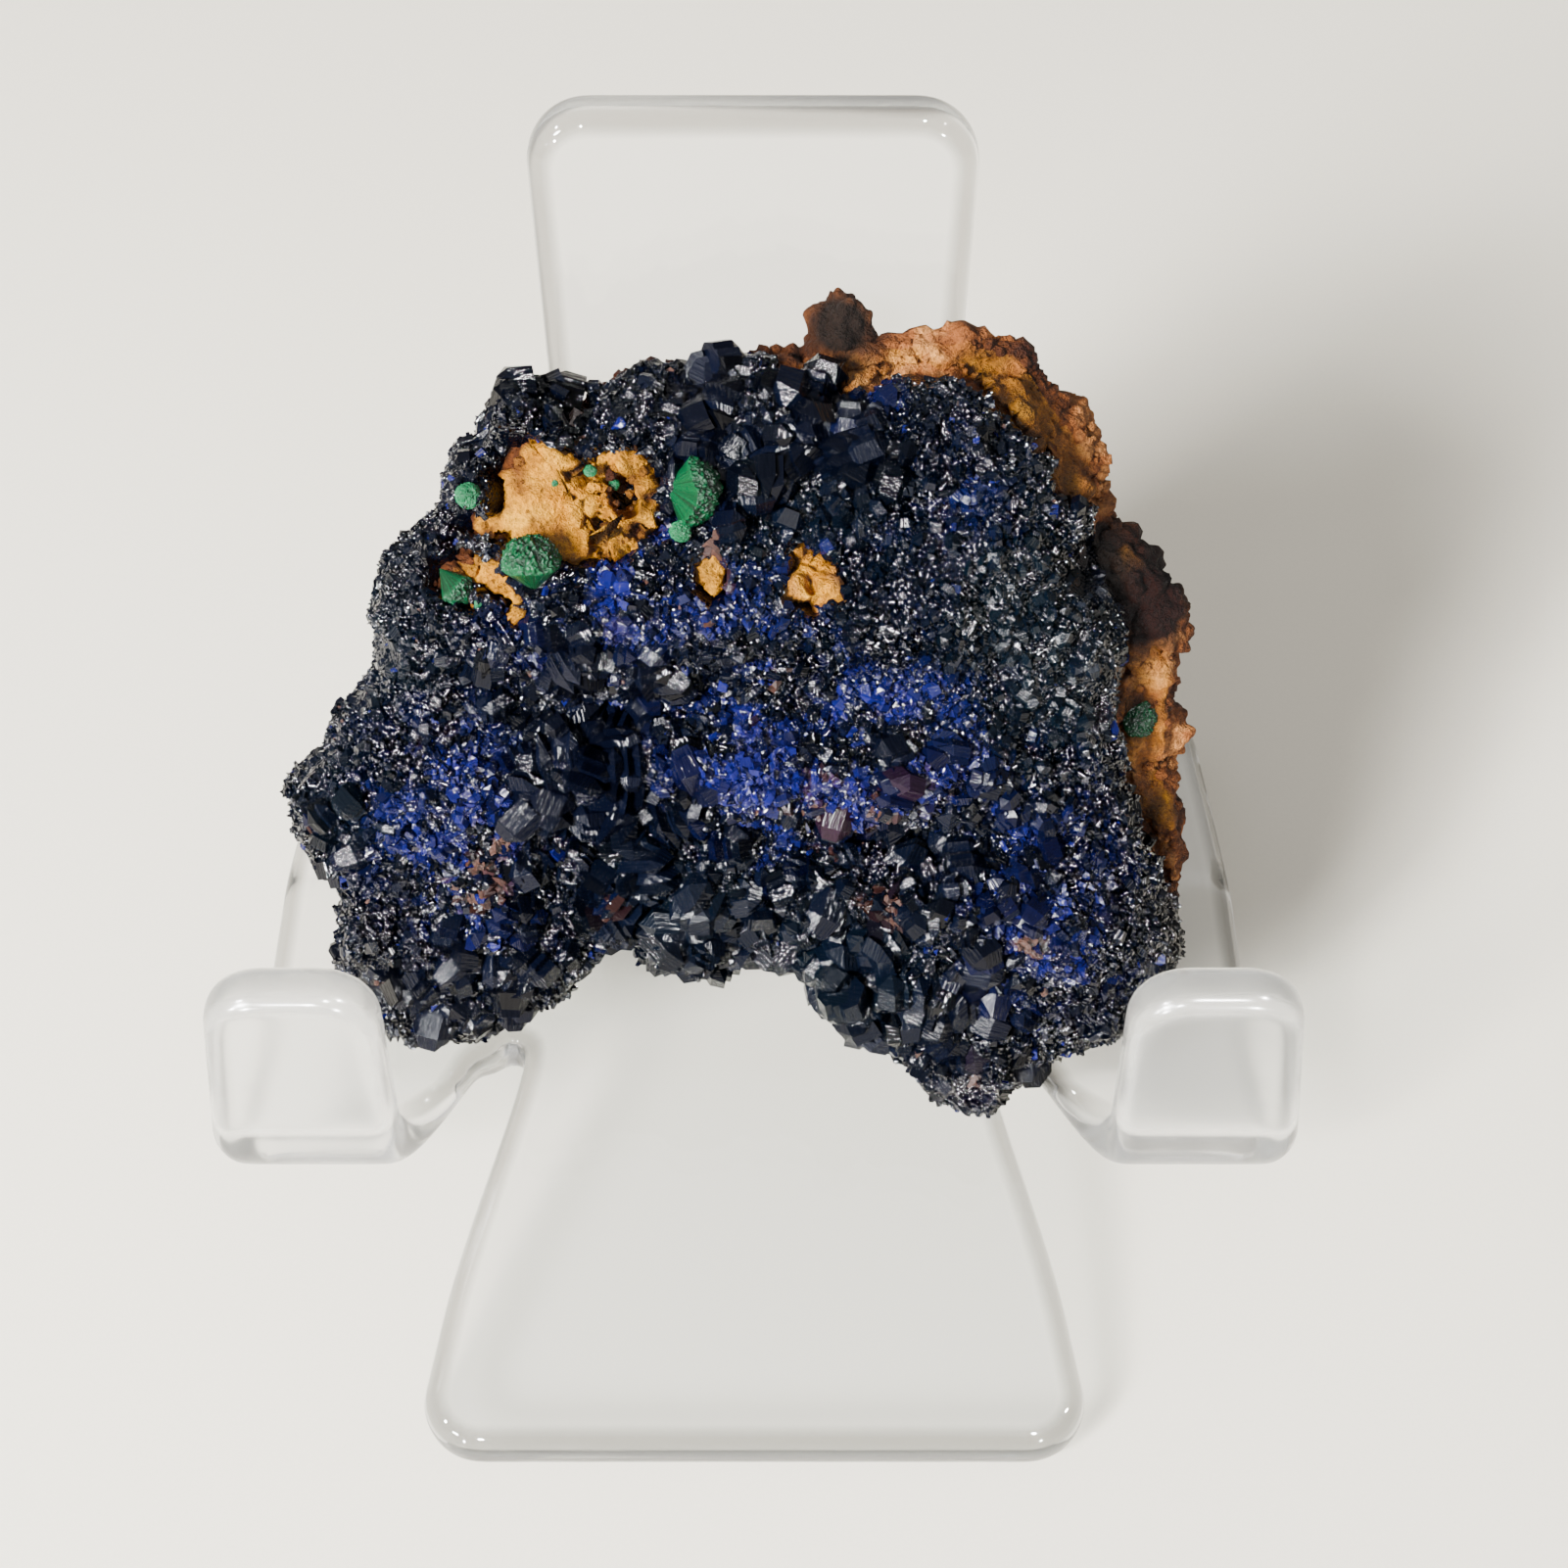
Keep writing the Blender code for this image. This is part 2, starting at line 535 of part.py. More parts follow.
def swollen(points, faces, grow):
    """Points moved outwards along their normals."""
    triangles = np.array(faces)
    corners = points[triangles]
    area = np.cross(corners[:, 1] - corners[:, 0], corners[:, 2] - corners[:, 0])
    normals = np.zeros_like(points)
    for k in range(3):
        np.add.at(normals, triangles[:, k], area)
    return points + grow * normals / np.linalg.norm(normals, axis=1)[:, None]


def lump_body(u, w, n, radius, stretch, point, seed, grow):
    """A rough lump: a ball of rings, stretched along w and drawn to a point there."""
    rings, columns = 4, 8
    rows = [np.array([[0.0, 1.0, 0.0]])]
    for k in range(1, rings):
        a = math.pi * k / rings
        b = np.arange(columns) * 2 * math.pi / columns + 0.4 * k
        thin = math.sin(a) * (1 - point * max(math.cos(a), 0.0))
        rows.append(np.stack([thin * np.cos(b), np.full(columns, math.cos(a)), thin * np.sin(b)], axis=-1))
    rows.append(np.array([[0.0, -1.0, 0.0]]))
    points = np.concatenate(rows) * radius * (1, stretch, 1) + (u, w, n)
    points = roughen(points, seed, ((1.6, 0.42),))
    faces = [(0, 1 + (j + 1) % columns, 1 + j) for j in range(columns)]
    for r in range(rings - 2):
        low = 1 + r * columns
        for j in range(columns):
            after = (j + 1) % columns
            faces += [(low + j, low + after, low + columns + after), (low + j, low + columns + after, low + columns + j)]
    last = 1 + (rings - 2) * columns
    faces += [(last + j, last + (j + 1) % columns, last + columns) for j in range(columns)]
    return swollen(points, faces, grow), faces


def joined(bodies):
    """Points and faces of many bodies as one set."""
    points, faces = [], []
    for body_points, body_faces in bodies:
        start = sum(len(p) for p in points)
        faces += [tuple(start + i for i in f) for f in body_faces]
        points.append(np.asarray(body_points))
    return np.concatenate(points), faces


def rock_lumps(grow):
    return joined([lump_body(*lump, SEED + 400 + k, grow) for k, lump in enumerate(ROCK_LUMPS)])


# ---- Crystals ----
def blade_shape(length, width, thickness, bevel):
    """A tabular crystal along +z: a flattened six-sided prism that ends in a wedge with bevelled corners."""
    ring = [(width, 0.0), (width * 0.55, thickness), (-width * 0.55, thickness)]
    ring += [(-x, -y) for x, y in ring]
    shoulder = length * (1 - bevel)
    points = [(x / 2, y / 2, 0.0) for x, y in ring]
    points += [(x / 2, y / 2, shoulder if k % 3 else shoulder * 0.88) for k, (x, y) in enumerate(ring)]
    points += [(width * 0.2, 0.0, length), (-width * 0.2, 0.0, length)]
    faces = [(5, 4, 3, 2, 1, 0)]
    faces += [(k, (k + 1) % 6, 6 + (k + 1) % 6, 6 + k) for k in range(6)]
    faces += [(7, 8, 13, 12), (10, 11, 12, 13), (6, 7, 12), (8, 9, 13), (9, 10, 13), (11, 6, 12)]
    return points, faces


def wedge_shape(length, width, thickness):
    """A small crystal along +z: four sloping faces that meet in a short ridge."""
    points = [(x * width / 2, y * thickness / 2, 0.0) for x, y in ((-1, -1), (1, -1), (1, 1), (-1, 1))]
    points += [(-width * 0.3, 0.0, length), (width * 0.3, 0.0, length)]
    return points, [(3, 2, 1, 0), (0, 1, 5, 4), (2, 3, 4, 5), (1, 2, 5), (3, 0, 4)]


def growth_at(u, w):
    """How much larger the crystals are here than in the fine druse."""
    return sum(g * math.exp(-((u - cu) ** 2 + (w - cw) ** 2) / reach**2) for cu, cw, reach, g in LARGE_CRYSTALS)


def face_frame(u, w):
    """Point and outward normal of the crust's face, by small steps along it."""
    step = 0.05
    at_u, at_w = np.array([u, u + step, u]), np.array([w, w, w + step])
    here, east, north = face_height(at_u, at_w)
    return Vector((u, w, here)), Vector(((here - east) / step, (here - north) / step, 1.0)).normalized()


def crystal_sites(rng):
    """Places for the crystals: scattered over the face, apart from each other and clear of the bare rock."""
    sites = []
    while len(sites) < CRYSTAL_COUNT:
        theta, share = rng.uniform(-math.pi, math.pi), 0.985 * math.sqrt(rng.uniform(0.0, 1.0))
        radius = float(crust_radius(theta)) * share
        u, w = radius * math.cos(theta), radius * math.sin(theta)
        bare = float(bareness(np.array([u]), np.array([w]))[0])
        if bare == 0 and all(math.hypot(u - pu, w - pw) > CRYSTAL_ROOM for pu, pw in sites):
            sites.append((u, w))
    return sites


def crystals_body():
    """All the larger crystals as one set of closed prisms, each rooted in the crust."""
    rng = np.random.default_rng(SEED)
    bodies = []
    for u, w in crystal_sites(rng):
        growth = growth_at(u, w)
        here, normal = face_frame(u, w)
        aim = (normal + Vector(rng.normal(0, 0.4, 3))).normalized()
        turn = aim.to_track_quat("Z", "Y").to_matrix() @ rotation_about("Z", rng.uniform(0, 180))
        width = rng.uniform(1.7, 2.4) * (1 + 0.4 * growth)
        if growth > 0.8:
            length = width * rng.uniform(1.1, 1.4)
            points, faces = blade_shape(length, width, width * rng.uniform(0.45, 0.7), rng.uniform(0.25, 0.45))
        else:
            length = width * rng.uniform(1.0, 1.3)
            points, faces = wedge_shape(length, width, width * rng.uniform(0.7, 1.0))
        root = here - aim * length * 0.5
        bodies.append(([tuple(turn @ Vector(p) + root) for p in points], faces))
    return joined(bodies)


def tuft_body(u, w, sink, radius, length, turn, grow):
    """A malachite tuft: a fan of fibres as a ribbed bud on a narrow foot. grow swells it."""
    at_u, at_w = np.array([u]), np.array([w])
    surface = max(face_height(at_u, at_w)[0], rock_height(at_u, at_w)[0])
    ribs = 7
    angles = np.arange(ribs) * 2 * math.pi / ribs
    rows = [np.array([[0.0, 0.0, 0.0]])]
    for height, reach in ((0.06, 0.5), (0.55, 0.9), (0.85, 1.0), (1.0, 0.6)):
        ribbed = radius * reach * (1 + 0.1 * (np.arange(ribs) % 2))
        level = np.full(ribs, height * length)
        rows.append(np.stack([1.25 * ribbed * np.cos(angles), 0.85 * ribbed * np.sin(angles), level], axis=-1))
    rows.append(np.array([[0.0, 0.0, 1.08 * length]]))
    points = np.concatenate(rows) @ np.array(rotation_about("Z", turn)).T
    faces = [(0, 1 + (j + 1) % ribs, 1 + j) for j in range(ribs)]
    for r in range(3):
        low = 1 + r * ribs
        for j in range(ribs):
            after = (j + 1) % ribs
            faces += [(low + j, low + after, low + ribs + after), (low + j, low + ribs + after, low + ribs + j)]
    last = 1 + 3 * ribs
    faces += [(last + j, last + (j + 1) % ribs, last + ribs) for j in range(ribs)]
    points = points + (u, w, surface - sink - 0.5 * length)
    return swollen(points, faces, grow), faces


# ---- Assembly ----
def make_rock(name, finish, parent, grow):
    """The rock with its lumps as one solid. grow swells it, to cut room for it in what lies on it."""
    rock = object_from(name, *rock_body(grow), finish, parent)
    combine(rock, object_from("lumps", *rock_lumps(grow), finish, parent), "UNION")
    return rock


def make_stone(parent):
    """The rock, the crust with its crystals, and the malachite tufts, each cut clear of what it sits on."""
    azurite = material("azurite", (0.012, 0.022, 0.11), 0.18)
    limonite = material("limonite", (0.42, 0.2, 0.07), 0.85)
    malachite = material("malachite", (0.02, 0.27, 0.13), 0.4)
    make_rock("limonite_matrix", limonite, parent, 0.0)
    crust = object_from("azurite_crust", *crust_body(), azurite, parent)
    combine(crust, object_from("crystals", *crystals_body(), azurite, parent), "UNION")
    combine(crust, make_rock("rock_room", limonite, parent, GAP), "DIFFERENCE")
    for number, tuft in enumerate(MALACHITE, start=1):
        combine(crust, object_from("tuft_room", *tuft_body(*tuft, GAP), malachite, parent), "DIFFERENCE")
        made = object_from(f"malachite_tuft_{number}", *tuft_body(*tuft, 0.0), malachite, parent)
        combine(made, make_rock("rock_room", limonite, parent, GAP), "DIFFERENCE")
        keep_largest(made)
    keep_largest(crust)


def keep_largest(obj):
    """Drops loose crumbs that a cut has left, and keeps the biggest body."""
    mesh = bmesh.new()
    mesh.from_mesh(obj.data)
    waiting = set(mesh.verts)
    groups = []
    while waiting:
        stack, group = [waiting.pop()], []
        while stack:
            vertex = stack.pop()
            group.append(vertex)
            near = [e.other_vert(vertex) for e in vertex.link_edges]
            fresh = [v for v in near if v in waiting]
            waiting.difference_update(fresh)
            stack += fresh
        groups.append(group)
    groups.sort(key=len)
    bmesh.ops.delete(mesh, geom=[v for group in groups[:-1] for v in group], context="VERTS")
    mesh.to_mesh(obj.data)
    mesh.free()


def main():
    for obj in list(bpy.data.objects):
        bpy.data.objects.remove(obj)
    base = bpy.data.objects.new("base", None)
    base.location.y = ORIGIN_SHIFT * MM
    bpy.context.scene.collection.objects.link(base)
    stone = bpy.data.objects.new("stone_place", None)
    bpy.context.scene.collection.objects.link(stone)
    stone.parent = base
    # Columns are the stone's own axes: u to the right, w up its face, n out of it.
    lean = math.radians(STONE_LEAN)
    axes = Matrix(((1, 0, 0), (0, math.sin(lean), -math.cos(lean)), (0, math.cos(lean), math.sin(lean))))
    stone.matrix_local = Matrix.Translation(Vector(STONE_AT) * MM) @ axes.to_4x4()
    bpy.context.view_layer.update()
    make_easel(base)
    make_stone(stone)
    bpy.context.view_layer.update()


main()
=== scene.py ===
"""Azurite crystals on limonite rock with malachite tufts, held by a clear bent easel.

A Blender add-on that is run as a script. It dresses the fixed frame: each operator makes one piece, or one
group of like pieces, as surfaces worked out with numpy. Lengths are in millimetres until a mesh is made.
The stone is worked out in its own leaning frame: u to the right, w up its face, n out of its face.
"""

import math

import bpy
import numpy as np
from bpy.props import FloatProperty, FloatVectorProperty, IntProperty, PointerProperty
from mathutils import Matrix, Vector
from mathutils.geometry import delaunay_2d_cdt


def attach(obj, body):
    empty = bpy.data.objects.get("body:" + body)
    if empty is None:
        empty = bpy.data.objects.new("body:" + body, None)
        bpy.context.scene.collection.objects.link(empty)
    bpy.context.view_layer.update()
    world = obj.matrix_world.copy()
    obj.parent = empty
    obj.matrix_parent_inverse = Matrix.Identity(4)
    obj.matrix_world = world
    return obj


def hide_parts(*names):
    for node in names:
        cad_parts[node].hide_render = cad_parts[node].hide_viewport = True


bl_info = {
    "name": "Azurite on an Easel",
    "version": (1, 0, 0),
    "blender": (4, 5, 0),
    "location": "3D View > Sidebar > Azurite",
    "description": "Builds the finished crystals, rock, malachite, easel and studio round the fixed frame",
    "category": "Add Mesh",
}

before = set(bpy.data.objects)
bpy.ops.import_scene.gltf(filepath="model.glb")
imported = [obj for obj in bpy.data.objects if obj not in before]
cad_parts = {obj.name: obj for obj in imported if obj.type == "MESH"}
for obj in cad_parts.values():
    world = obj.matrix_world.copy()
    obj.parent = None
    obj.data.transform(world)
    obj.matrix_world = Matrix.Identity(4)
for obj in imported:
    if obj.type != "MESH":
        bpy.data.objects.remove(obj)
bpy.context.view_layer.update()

MM = 0.001
ORIGIN_SHIFT = 0.67  # along Y, so that the origin is under the middle of the whole
SEED = 7

# ---- Stone: place, lean and thicknesses ----
STONE_AT = np.array((0.0, 2.35 + ORIGIN_SHIFT, 27.7))
STONE_LEAN = math.radians(30.0)
DOME = 5.4  # how far the middle of the face stands out
CRUST_THICKNESS = 2.3
SKIRT, SKIRT_SLOPE = 5.2, 0.15  # how far the crust reaches back round the rim; deeper towards the foot
ROCK_DEPTH, ROCK_DEPTH_SLOPE = 8.5, 0.17  # how far the rock reaches back, in the same way
UNDERSIDE_Z = 7.95  # the stone's underside is worn level where it stands on the bridge
ROCK_INSET = 2.2  # how far the rock's outline lies inside the crust's, where the crust covers it
OUTLINE_INSET = 0.2  # the crystals reach this much further
BARE_DROP = 2.6  # how far the crust's surface sinks under the bare rock

# ---- How finely each surface is made: points round it, and rows ----
CRUST_COLUMNS, CRUST_FACE_ROWS, CRUST_SIDE_ROWS = 600, 120, 30
LUMP_COLUMNS, LUMP_ROWS = 144, 84
FAN_GRID, SPECK_GRID = (280, 60), (110, 28)
SPECK_LENGTH = 1.0  # fans up to this long are specks
FAN_END = 0.6  # share of a fan's rows that lie on its end
TRIES = 4  # places tried for each crystal or grain

# ---- Stone: outlines, relief, patches and colours ----
# Outline of the crystal crust in (u, w), anticlockwise from the right.
CRUST_OUTLINE = (
    (19.7, 1.5), (19.9, 4.9), (18.2, 8.2), (17.8, 13.0), (15.0, 17.0), (12.2, 18.6), (7.2, 18.6), (4.4, 18.2),
    (2.4, 18.8), (0.0, 18.8), (-2.7, 18.0), (-5.3, 18.2), (-6.9, 17.8), (-9.1, 15.8), (-10.1, 17.0),
    (-12.2, 17.0), (-14.4, 15.3), (-16.0, 13.0), (-16.2, 11.0), (-18.6, 8.8), (-20.2, 6.0), (-20.5, 2.6),
    (-22.1, -0.2), (-23.4, -1.8), (-25.2, -4.9), (-25.0, -6.9), (-22.3, -10.2), (-23.1, -11.6),
    (-22.9, -13.9), (-21.0, -17.5), (-19.4, -19.0), (-14.4, -18.0), (-12.0, -16.3), (-9.6, -13.6),
    (-7.4, -12.8), (-6.1, -14.0), (-3.7, -14.8), (0.5, -13.8), (3.2, -14.8), (3.9, -16.8), (6.9, -19.2),
    (8.8, -20.0), (10.6, -22.3), (13.3, -22.6), (14.1, -21.4), (16.8, -20.0), (20.6, -18.4),
    (23.4, -14.6), (23.2, -12.0), (22.4, -9.0), (21.0, -6.0), (20.2, -3.5),
)
# The rock stands past the crust only on the right and along the top. Anticlockwise from the lower right.
ROCK_OUTLINE = (
    (22.4, -13.0), (23.2, -9.4), (22.8, -6.0), (22.2, -2.7), (22.2, 0.0), (22.3, 3.0), (21.6, 6.6),
    (19.6, 9.3), (18.2, 11.5), (17.6, 14.2), (15.4, 16.9), (13.6, 18.9), (10.8, 19.6), (7.0, 19.4),
    (4.0, 18.8), (0.0, 18.5), (-2.7, 17.7), (-5.3, 17.8), (-6.9, 17.4), (-9.2, 15.6), (-10.2, 16.5),
    (-12.0, 16.4),
)
# Lumps (+) and hollows (-) of the face: u, w, half-length, half-width, height, turn in degrees.
RELIEF = (
    (0.0, 6.3, 16.0, 2.3, 1.7, 0.0), (-7.6, 1.1, 8.5, 1.8, -2.1, 4.0), (4.1, -1.8, 10.5, 2.4, 2.2, -3.0),
    (-17.0, -6.2, 4.8, 4.6, 2.0, 0.0), (-7.2, -5.0, 3.2, 2.6, -1.8, 20.0), (9.6, -5.8, 6.6, 1.9, -2.7, -6.0),
    (16.4, -12.0, 5.6, 5.0, 2.2, 0.0), (-15.5, -13.6, 5.0, 2.8, 1.3, 0.0), (-3.2, -8.2, 2.4, 2.2, 1.8, 0.0),
    (-4.2, -11.8, 2.2, 1.9, 1.4, 0.0), (1.2, -10.2, 2.3, 2.0, 1.3, 0.0), (11.8, -20.0, 2.4, 2.0, 1.5, 0.0),
    (6.4, -14.6, 2.2, 1.8, 1.2, 0.0), (4.0, 12.4, 6.0, 2.6, -1.9, 8.0), (-9.2, 12.7, 4.4, 3.4, -1.2, 0.0),
    (1.5, 17.2, 9.0, 1.5, 1.0, 0.0), (14.2, 12.6, 3.0, 3.6, 1.1, 0.0), (17.3, 9.0, 1.6, 1.6, -1.6, 0.0),
    (-13.0, -1.0, 2.4, 1.6, -1.3, 0.0), (-11.0, -9.0, 3.0, 1.5, -1.2, -30.0),
    (9.0, -10.4, 2.4, 2.0, 0.9, 0.0),
)
# Round patches that the frame's own crystals keep clear of: u, w, radius.
BARE_ROCK = (
    (-11.3, 14.4, 2.6), (-10.8, 12.2, 3.0), (-9.0, 10.5, 2.3), (-5.8, 14.2, 1.5), (-5.7, 11.6, 2.0),
    (-7.7, 13.3, 2.2), (-14.4, 9.9, 1.4), (-13.4, 8.4, 1.3), (-2.4, 9.1, 1.2), (3.1, 9.1, 1.6),
)
# Outlines of the bare patches in (u, w), each with how far the rock there lies below the crust's face.
PATCHES = (
    (0.5, (  # the sandy hollow at the top left
        (-12.6, 15.4), (-11.5, 15.8), (-10.7, 15.2), (-8.9, 14.2), (-8.5, 13.8), (-8.3, 12.9), (-7.9, 12.2),
        (-8.1, 11.1), (-7.9, 10.0), (-7.9, 9.2), (-8.9, 8.9), (-9.9, 9.4), (-10.6, 8.8), (-12.2, 9.0),
        (-12.8, 10.2), (-13.5, 9.9), (-14.7, 10.2), (-15.7, 10.6), (-15.2, 11.4), (-13.8, 11.2),
        (-13.3, 12.7), (-13.5, 13.9),
    )),
    (0.7, (  # the pitted rock to its right
        (-8.3, 14.4), (-7.1, 14.9), (-5.9, 14.9), (-4.9, 13.6), (-4.7, 12.0), (-4.4, 10.7), (-5.2, 10.4),
        (-6.2, 10.0), (-7.2, 9.4), (-7.9, 9.1), (-8.0, 10.7), (-7.9, 12.2), (-8.3, 13.8),
    )),
    (0.2, (
        (-16.2, 10.3), (-14.6, 9.6), (-13.1, 8.7), (-11.9, 7.6), (-11.1, 5.4), (-12.2, 6.3), (-13.0, 7.1),
        (-14.7, 8.2), (-16.1, 9.3),
    )),
    (0.3, (
        (-17.2, 8.5), (-16.3, 9.2), (-15.6, 8.7), (-15.2, 8.1), (-14.2, 7.6), (-14.3, 6.7), (-15.2, 7.1),
        (-16.2, 7.4), (-17.0, 7.7),
    )),
    (0.2, ((-2.8, 9.6), (-1.7, 9.9), (-1.2, 8.8), (-1.4, 7.6), (-2.3, 7.7), (-3.1, 8.4))),
    (0.1, (
        (1.6, 8.3), (2.2, 8.9), (2.0, 9.9), (2.6, 10.0), (3.1, 9.5), (3.8, 9.7), (4.1, 9.1), (4.5, 8.3),
        (3.6, 7.7), (3.1, 7.2), (2.3, 7.7), (1.7, 7.6),
    )),
    (0.9, (  # the rim along the top
        (2.8, 17.9), (4.6, 17.4), (6.6, 18.1), (8.4, 18.4), (9.9, 18.5), (11.6, 17.8), (13.6, 16.2),
        (14.9, 14.6), (15.9, 13.2), (16.8, 11.6), (24.0, 12.0), (20.0, 22.0), (2.8, 22.0),
    )),
    (1.2, (  # the rim down the right
        (18.2, 9.0), (19.6, 6.3), (20.1, 2.5), (19.8, -0.3), (20.4, -3.0), (21.2, -5.5), (22.4, -8.3),
        (23.1, -9.8), (28.0, -9.8), (28.0, 9.0),
    )),
)
# Round knobs of dark crystal: u, w, radius.
KNOBS = (
    (-12.0, 16.4, 1.45), (-9.5, 16.5, 1.25), (-14.5, 12.8, 1.35), (12.4, -20.0, 1.7), (10.2, -19.4, 1.3),
    (-3.2, -12.2, 1.5), (-4.9, -11.4, 1.2), (4.4, -13.6, 1.4), (-20.0, -16.8, 1.3), (0.2, 13.2, 1.3),
)
# The dark hollow between the crust and the lumps: u, w, radius, depth.
HOLLOW = (17.6, 8.5, 1.35, 2.0)
# Pits in the bare rock, whose colour is darkened with painted shade: u, w, radius, depth.
ROCK_PITS = (
    (-9.4, 13.6, 0.35, 0.8), (-9.3, 12.4, 0.3, 0.6), (-7.0, 12.9, 0.75, 2.2), (-6.5, 12.1, 0.55, 1.9),
    (-7.4, 13.8, 0.4, 1.4), (-7.8, 10.9, 0.35, 1.5), (-7.9, 10.1, 0.35, 1.4), (-7.5, 9.6, 0.3, 0.9),
    (-5.4, 12.4, 0.3, 0.8), (-6.0, 10.9, 0.45, 1.1), (3.0, 8.5, 0.3, 0.6), (-8.9, 13.9, 0.25, 0.6),
)
# Lumps fused to the rock: u, w, n, radius, stretch along w, point (0 is round and 1 is sharp).
ROCK_LUMPS = (
    (4.6, 18.7, -2.9, 2.1, 1.65, 0.25), (19.7, 7.2, -3.0, 2.3, 1.25, 0.4), (21.3, 4.6, -3.2, 2.5, 1.1, 0.2),
    (21.6, -1.9, -3.6, 2.3, 1.0, 0.2), (16.2, 14.8, -3.2, 2.1, 1.0, 0.1),
)
# Malachite fans: u, w and lift of the foot, turn and tilt of the middle fibre, length, half-angles both ways.
MALACHITE = (
    (-4.4, 13.2, -0.2, -8.0, 22.0, 2.9, 58.0, 30.0), (-11.2, 7.9, -0.1, 92.0, 30.0, 3.3, 38.0, 30.0),
    (-14.5, 12.5, 0.9, 90.0, 70.0, 1.2, 48.0, 48.0), (-3.6, 11.3, -0.1, 250.0, 82.0, 1.4, 33.0, 33.0),
    (-16.3, 8.6, -0.2, -45.0, 30.0, 2.3, 32.0, 24.0), (20.4, -0.9, -2.2, 20.0, 60.0, 1.9, 34.0, 48.0),
)
# Specks of malachite in the same terms.
GREEN_SPECKS = (
    (-8.3, 13.7, -0.7, 90.0, 70.0, 0.75, 38.0, 30.0), (-7.1, 13.1, -1.5, 250.0, 80.0, 0.8, 30.0, 30.0),
    (-10.2, 13.2, -0.7, 0.0, 80.0, 0.45, 35.0, 35.0), (-14.3, 7.2, 0.0, 0.0, 60.0, 0.7, 40.0, 30.0),
)
# Where the crystals grow large: u, w, reach, growth.
LARGE_CRYSTALS = (
    (1.5, 16.2, 5.5, 1.0), (8.6, 14.0, 4.5, 0.9), (-7.7, -4.9, 4.5, 1.3), (9.3, -6.4, 7.0, 0.8),
    (-3.6, -11.0, 4.5, 0.8), (6.8, -15.0, 5.0, 1.0), (-15.1, -14.0, 5.0, 0.6), (-9.0, 1.4, 5.5, 0.9),
    (-11.2, 16.8, 2.5, 0.8), (-21.6, -5.5, 3.5, 0.6), (12.3, -19.0, 4.0, 0.7),
)
# The same as finished, with finer crystals at the upper right.
COARSE_ZONES = (*LARGE_CRYSTALS[:1], (5.2, 14.6, 2.4, 0.7), *LARGE_CRYSTALS[2:])
CRYSTAL_COUNT = 130  # the frame's own larger crystals
CRYSTAL_ROOM = 2.1  # least distance between two of them
CRYSTAL_SPREAD = 0.985  # how near the outline they come, as a share of its radius
OWN_SCALE = 0.86  # size of their plates, as a share of their solids
WIDE_RADIUS = 25.2  # radius of the outline from which the spread of crystals is reckoned
# The few bright blue crystals anywhere are a painted blue flash: light glinting inside them, painted into
# their colour.
PAINTED_BLUE_FLASH_SHARE, STRAY_RUST = 0.012, 0.003  # shares of crystals that are bright blue or rusty in any place
COARSE = 0.35  # growth from which large crystals show
BLADED = (-7.7, -4.9, 5.0)  # u, w, reach of the group with the thinnest blades
PLATES = 3  # plates stacked in each large crystal
# Bright blue druse, slate-green tint and rust, each u, w, reach, strength.
BLUE_DRUSE = (
    (-1.0, -2.0, 4.5, 1.0), (4.5, -1.2, 4.0, 0.9), (-16.0, -4.0, 5.0, 0.8), (9.0, 1.0, 4.0, 0.7),
    (15.0, -11.0, 4.5, 0.8), (-9.0, 6.5, 4.0, 0.6), (0.0, 7.5, 5.0, 0.5), (13.0, -3.0, 4.0, 0.6),
    (-6.0, 9.0, 2.5, 0.6), (10.0, 12.0, 3.0, 0.5), (-15.5, -8.5, 3.0, 0.9), (6.3, 17.3, 1.2, 0.9),
)
SLATE_TINT = (
    (16.0, 3.0, 5.0, 1.0), (12.0, 9.0, 4.0, 0.8), (-19.5, 4.0, 3.0, 0.9), (3.0, 10.0, 4.0, 0.6),
    (-4.0, -9.5, 3.5, 0.6), (5.0, -13.0, 4.0, 0.7), (-22.0, -4.0, 3.0, 0.5),
)
RUST = (
    (-14.6, -7.0, 2.2, 1.0), (3.6, -4.0, 3.2, 0.8), (14.8, -11.0, 0.9, 1.0), (0.2, 3.0, 2.4, 0.5),
    (-17.0, -0.8, 1.4, 0.5), (9.0, -1.5, 2.5, 0.5), (-12.0, -5.5, 1.0, 0.9), (7.0, -9.0, 2.0, 0.6),
    (-8.0, -9.5, 1.6, 0.5), (11.7, -19.3, 0.8, 0.9), (-2.2, 9.0, 1.4, 0.9),
)
# Red lumps and brown spots of the rock: u, w, squared reach along u and along w, strength. The second brown
# spot is painted shade in the dark gap between the crust and the lumps.
RED_ROCK = ((20.8, 6.4, 9.0, 12.0, 1.0), (-6.0, 19.0, 6.0, 6.0, 0.5))
BROWN_ROCK_AND_PAINTED_GAP_SHADE = ((4.6, 20.5, 4.0, 4.0, 1.0), (18.3, 7.8, 2.0, 2.0, 1.5))

# ---- Easel: one acrylic sheet, cut and bent ----
SHEET = 3.2  # thickness
BRIDGE_Z = 6.0  # middle of the sheet where all the strips meet
BRIDGE_FRONT, BRIDGE_REAR = -4.5, 7.0
FOOT_LENGTH, FOOT_HALF, FOOT_ROOT_HALF = 23.6, 17.9, 13.3
LEG_LENGTH, LEG_INNER, LEG_OUTER = 19.9, 19.0, 28.7
ARM_INNER, ARM_OUTER, ARM_TIP_OUTER = 19.8, 30.2, 29.2
HOOK_DIP, HOOK_RADIUS, HOOK_LIMB = 30.0, 3.2, 13.0
REST_LEAN, REST_RADIUS, REST_LIMB = 12.0, 4.0, 46.0
REST_ROOT_HALF, REST_TOP_HALF = 9.6, 11.7
NOTCH_RADIUS = 0.8
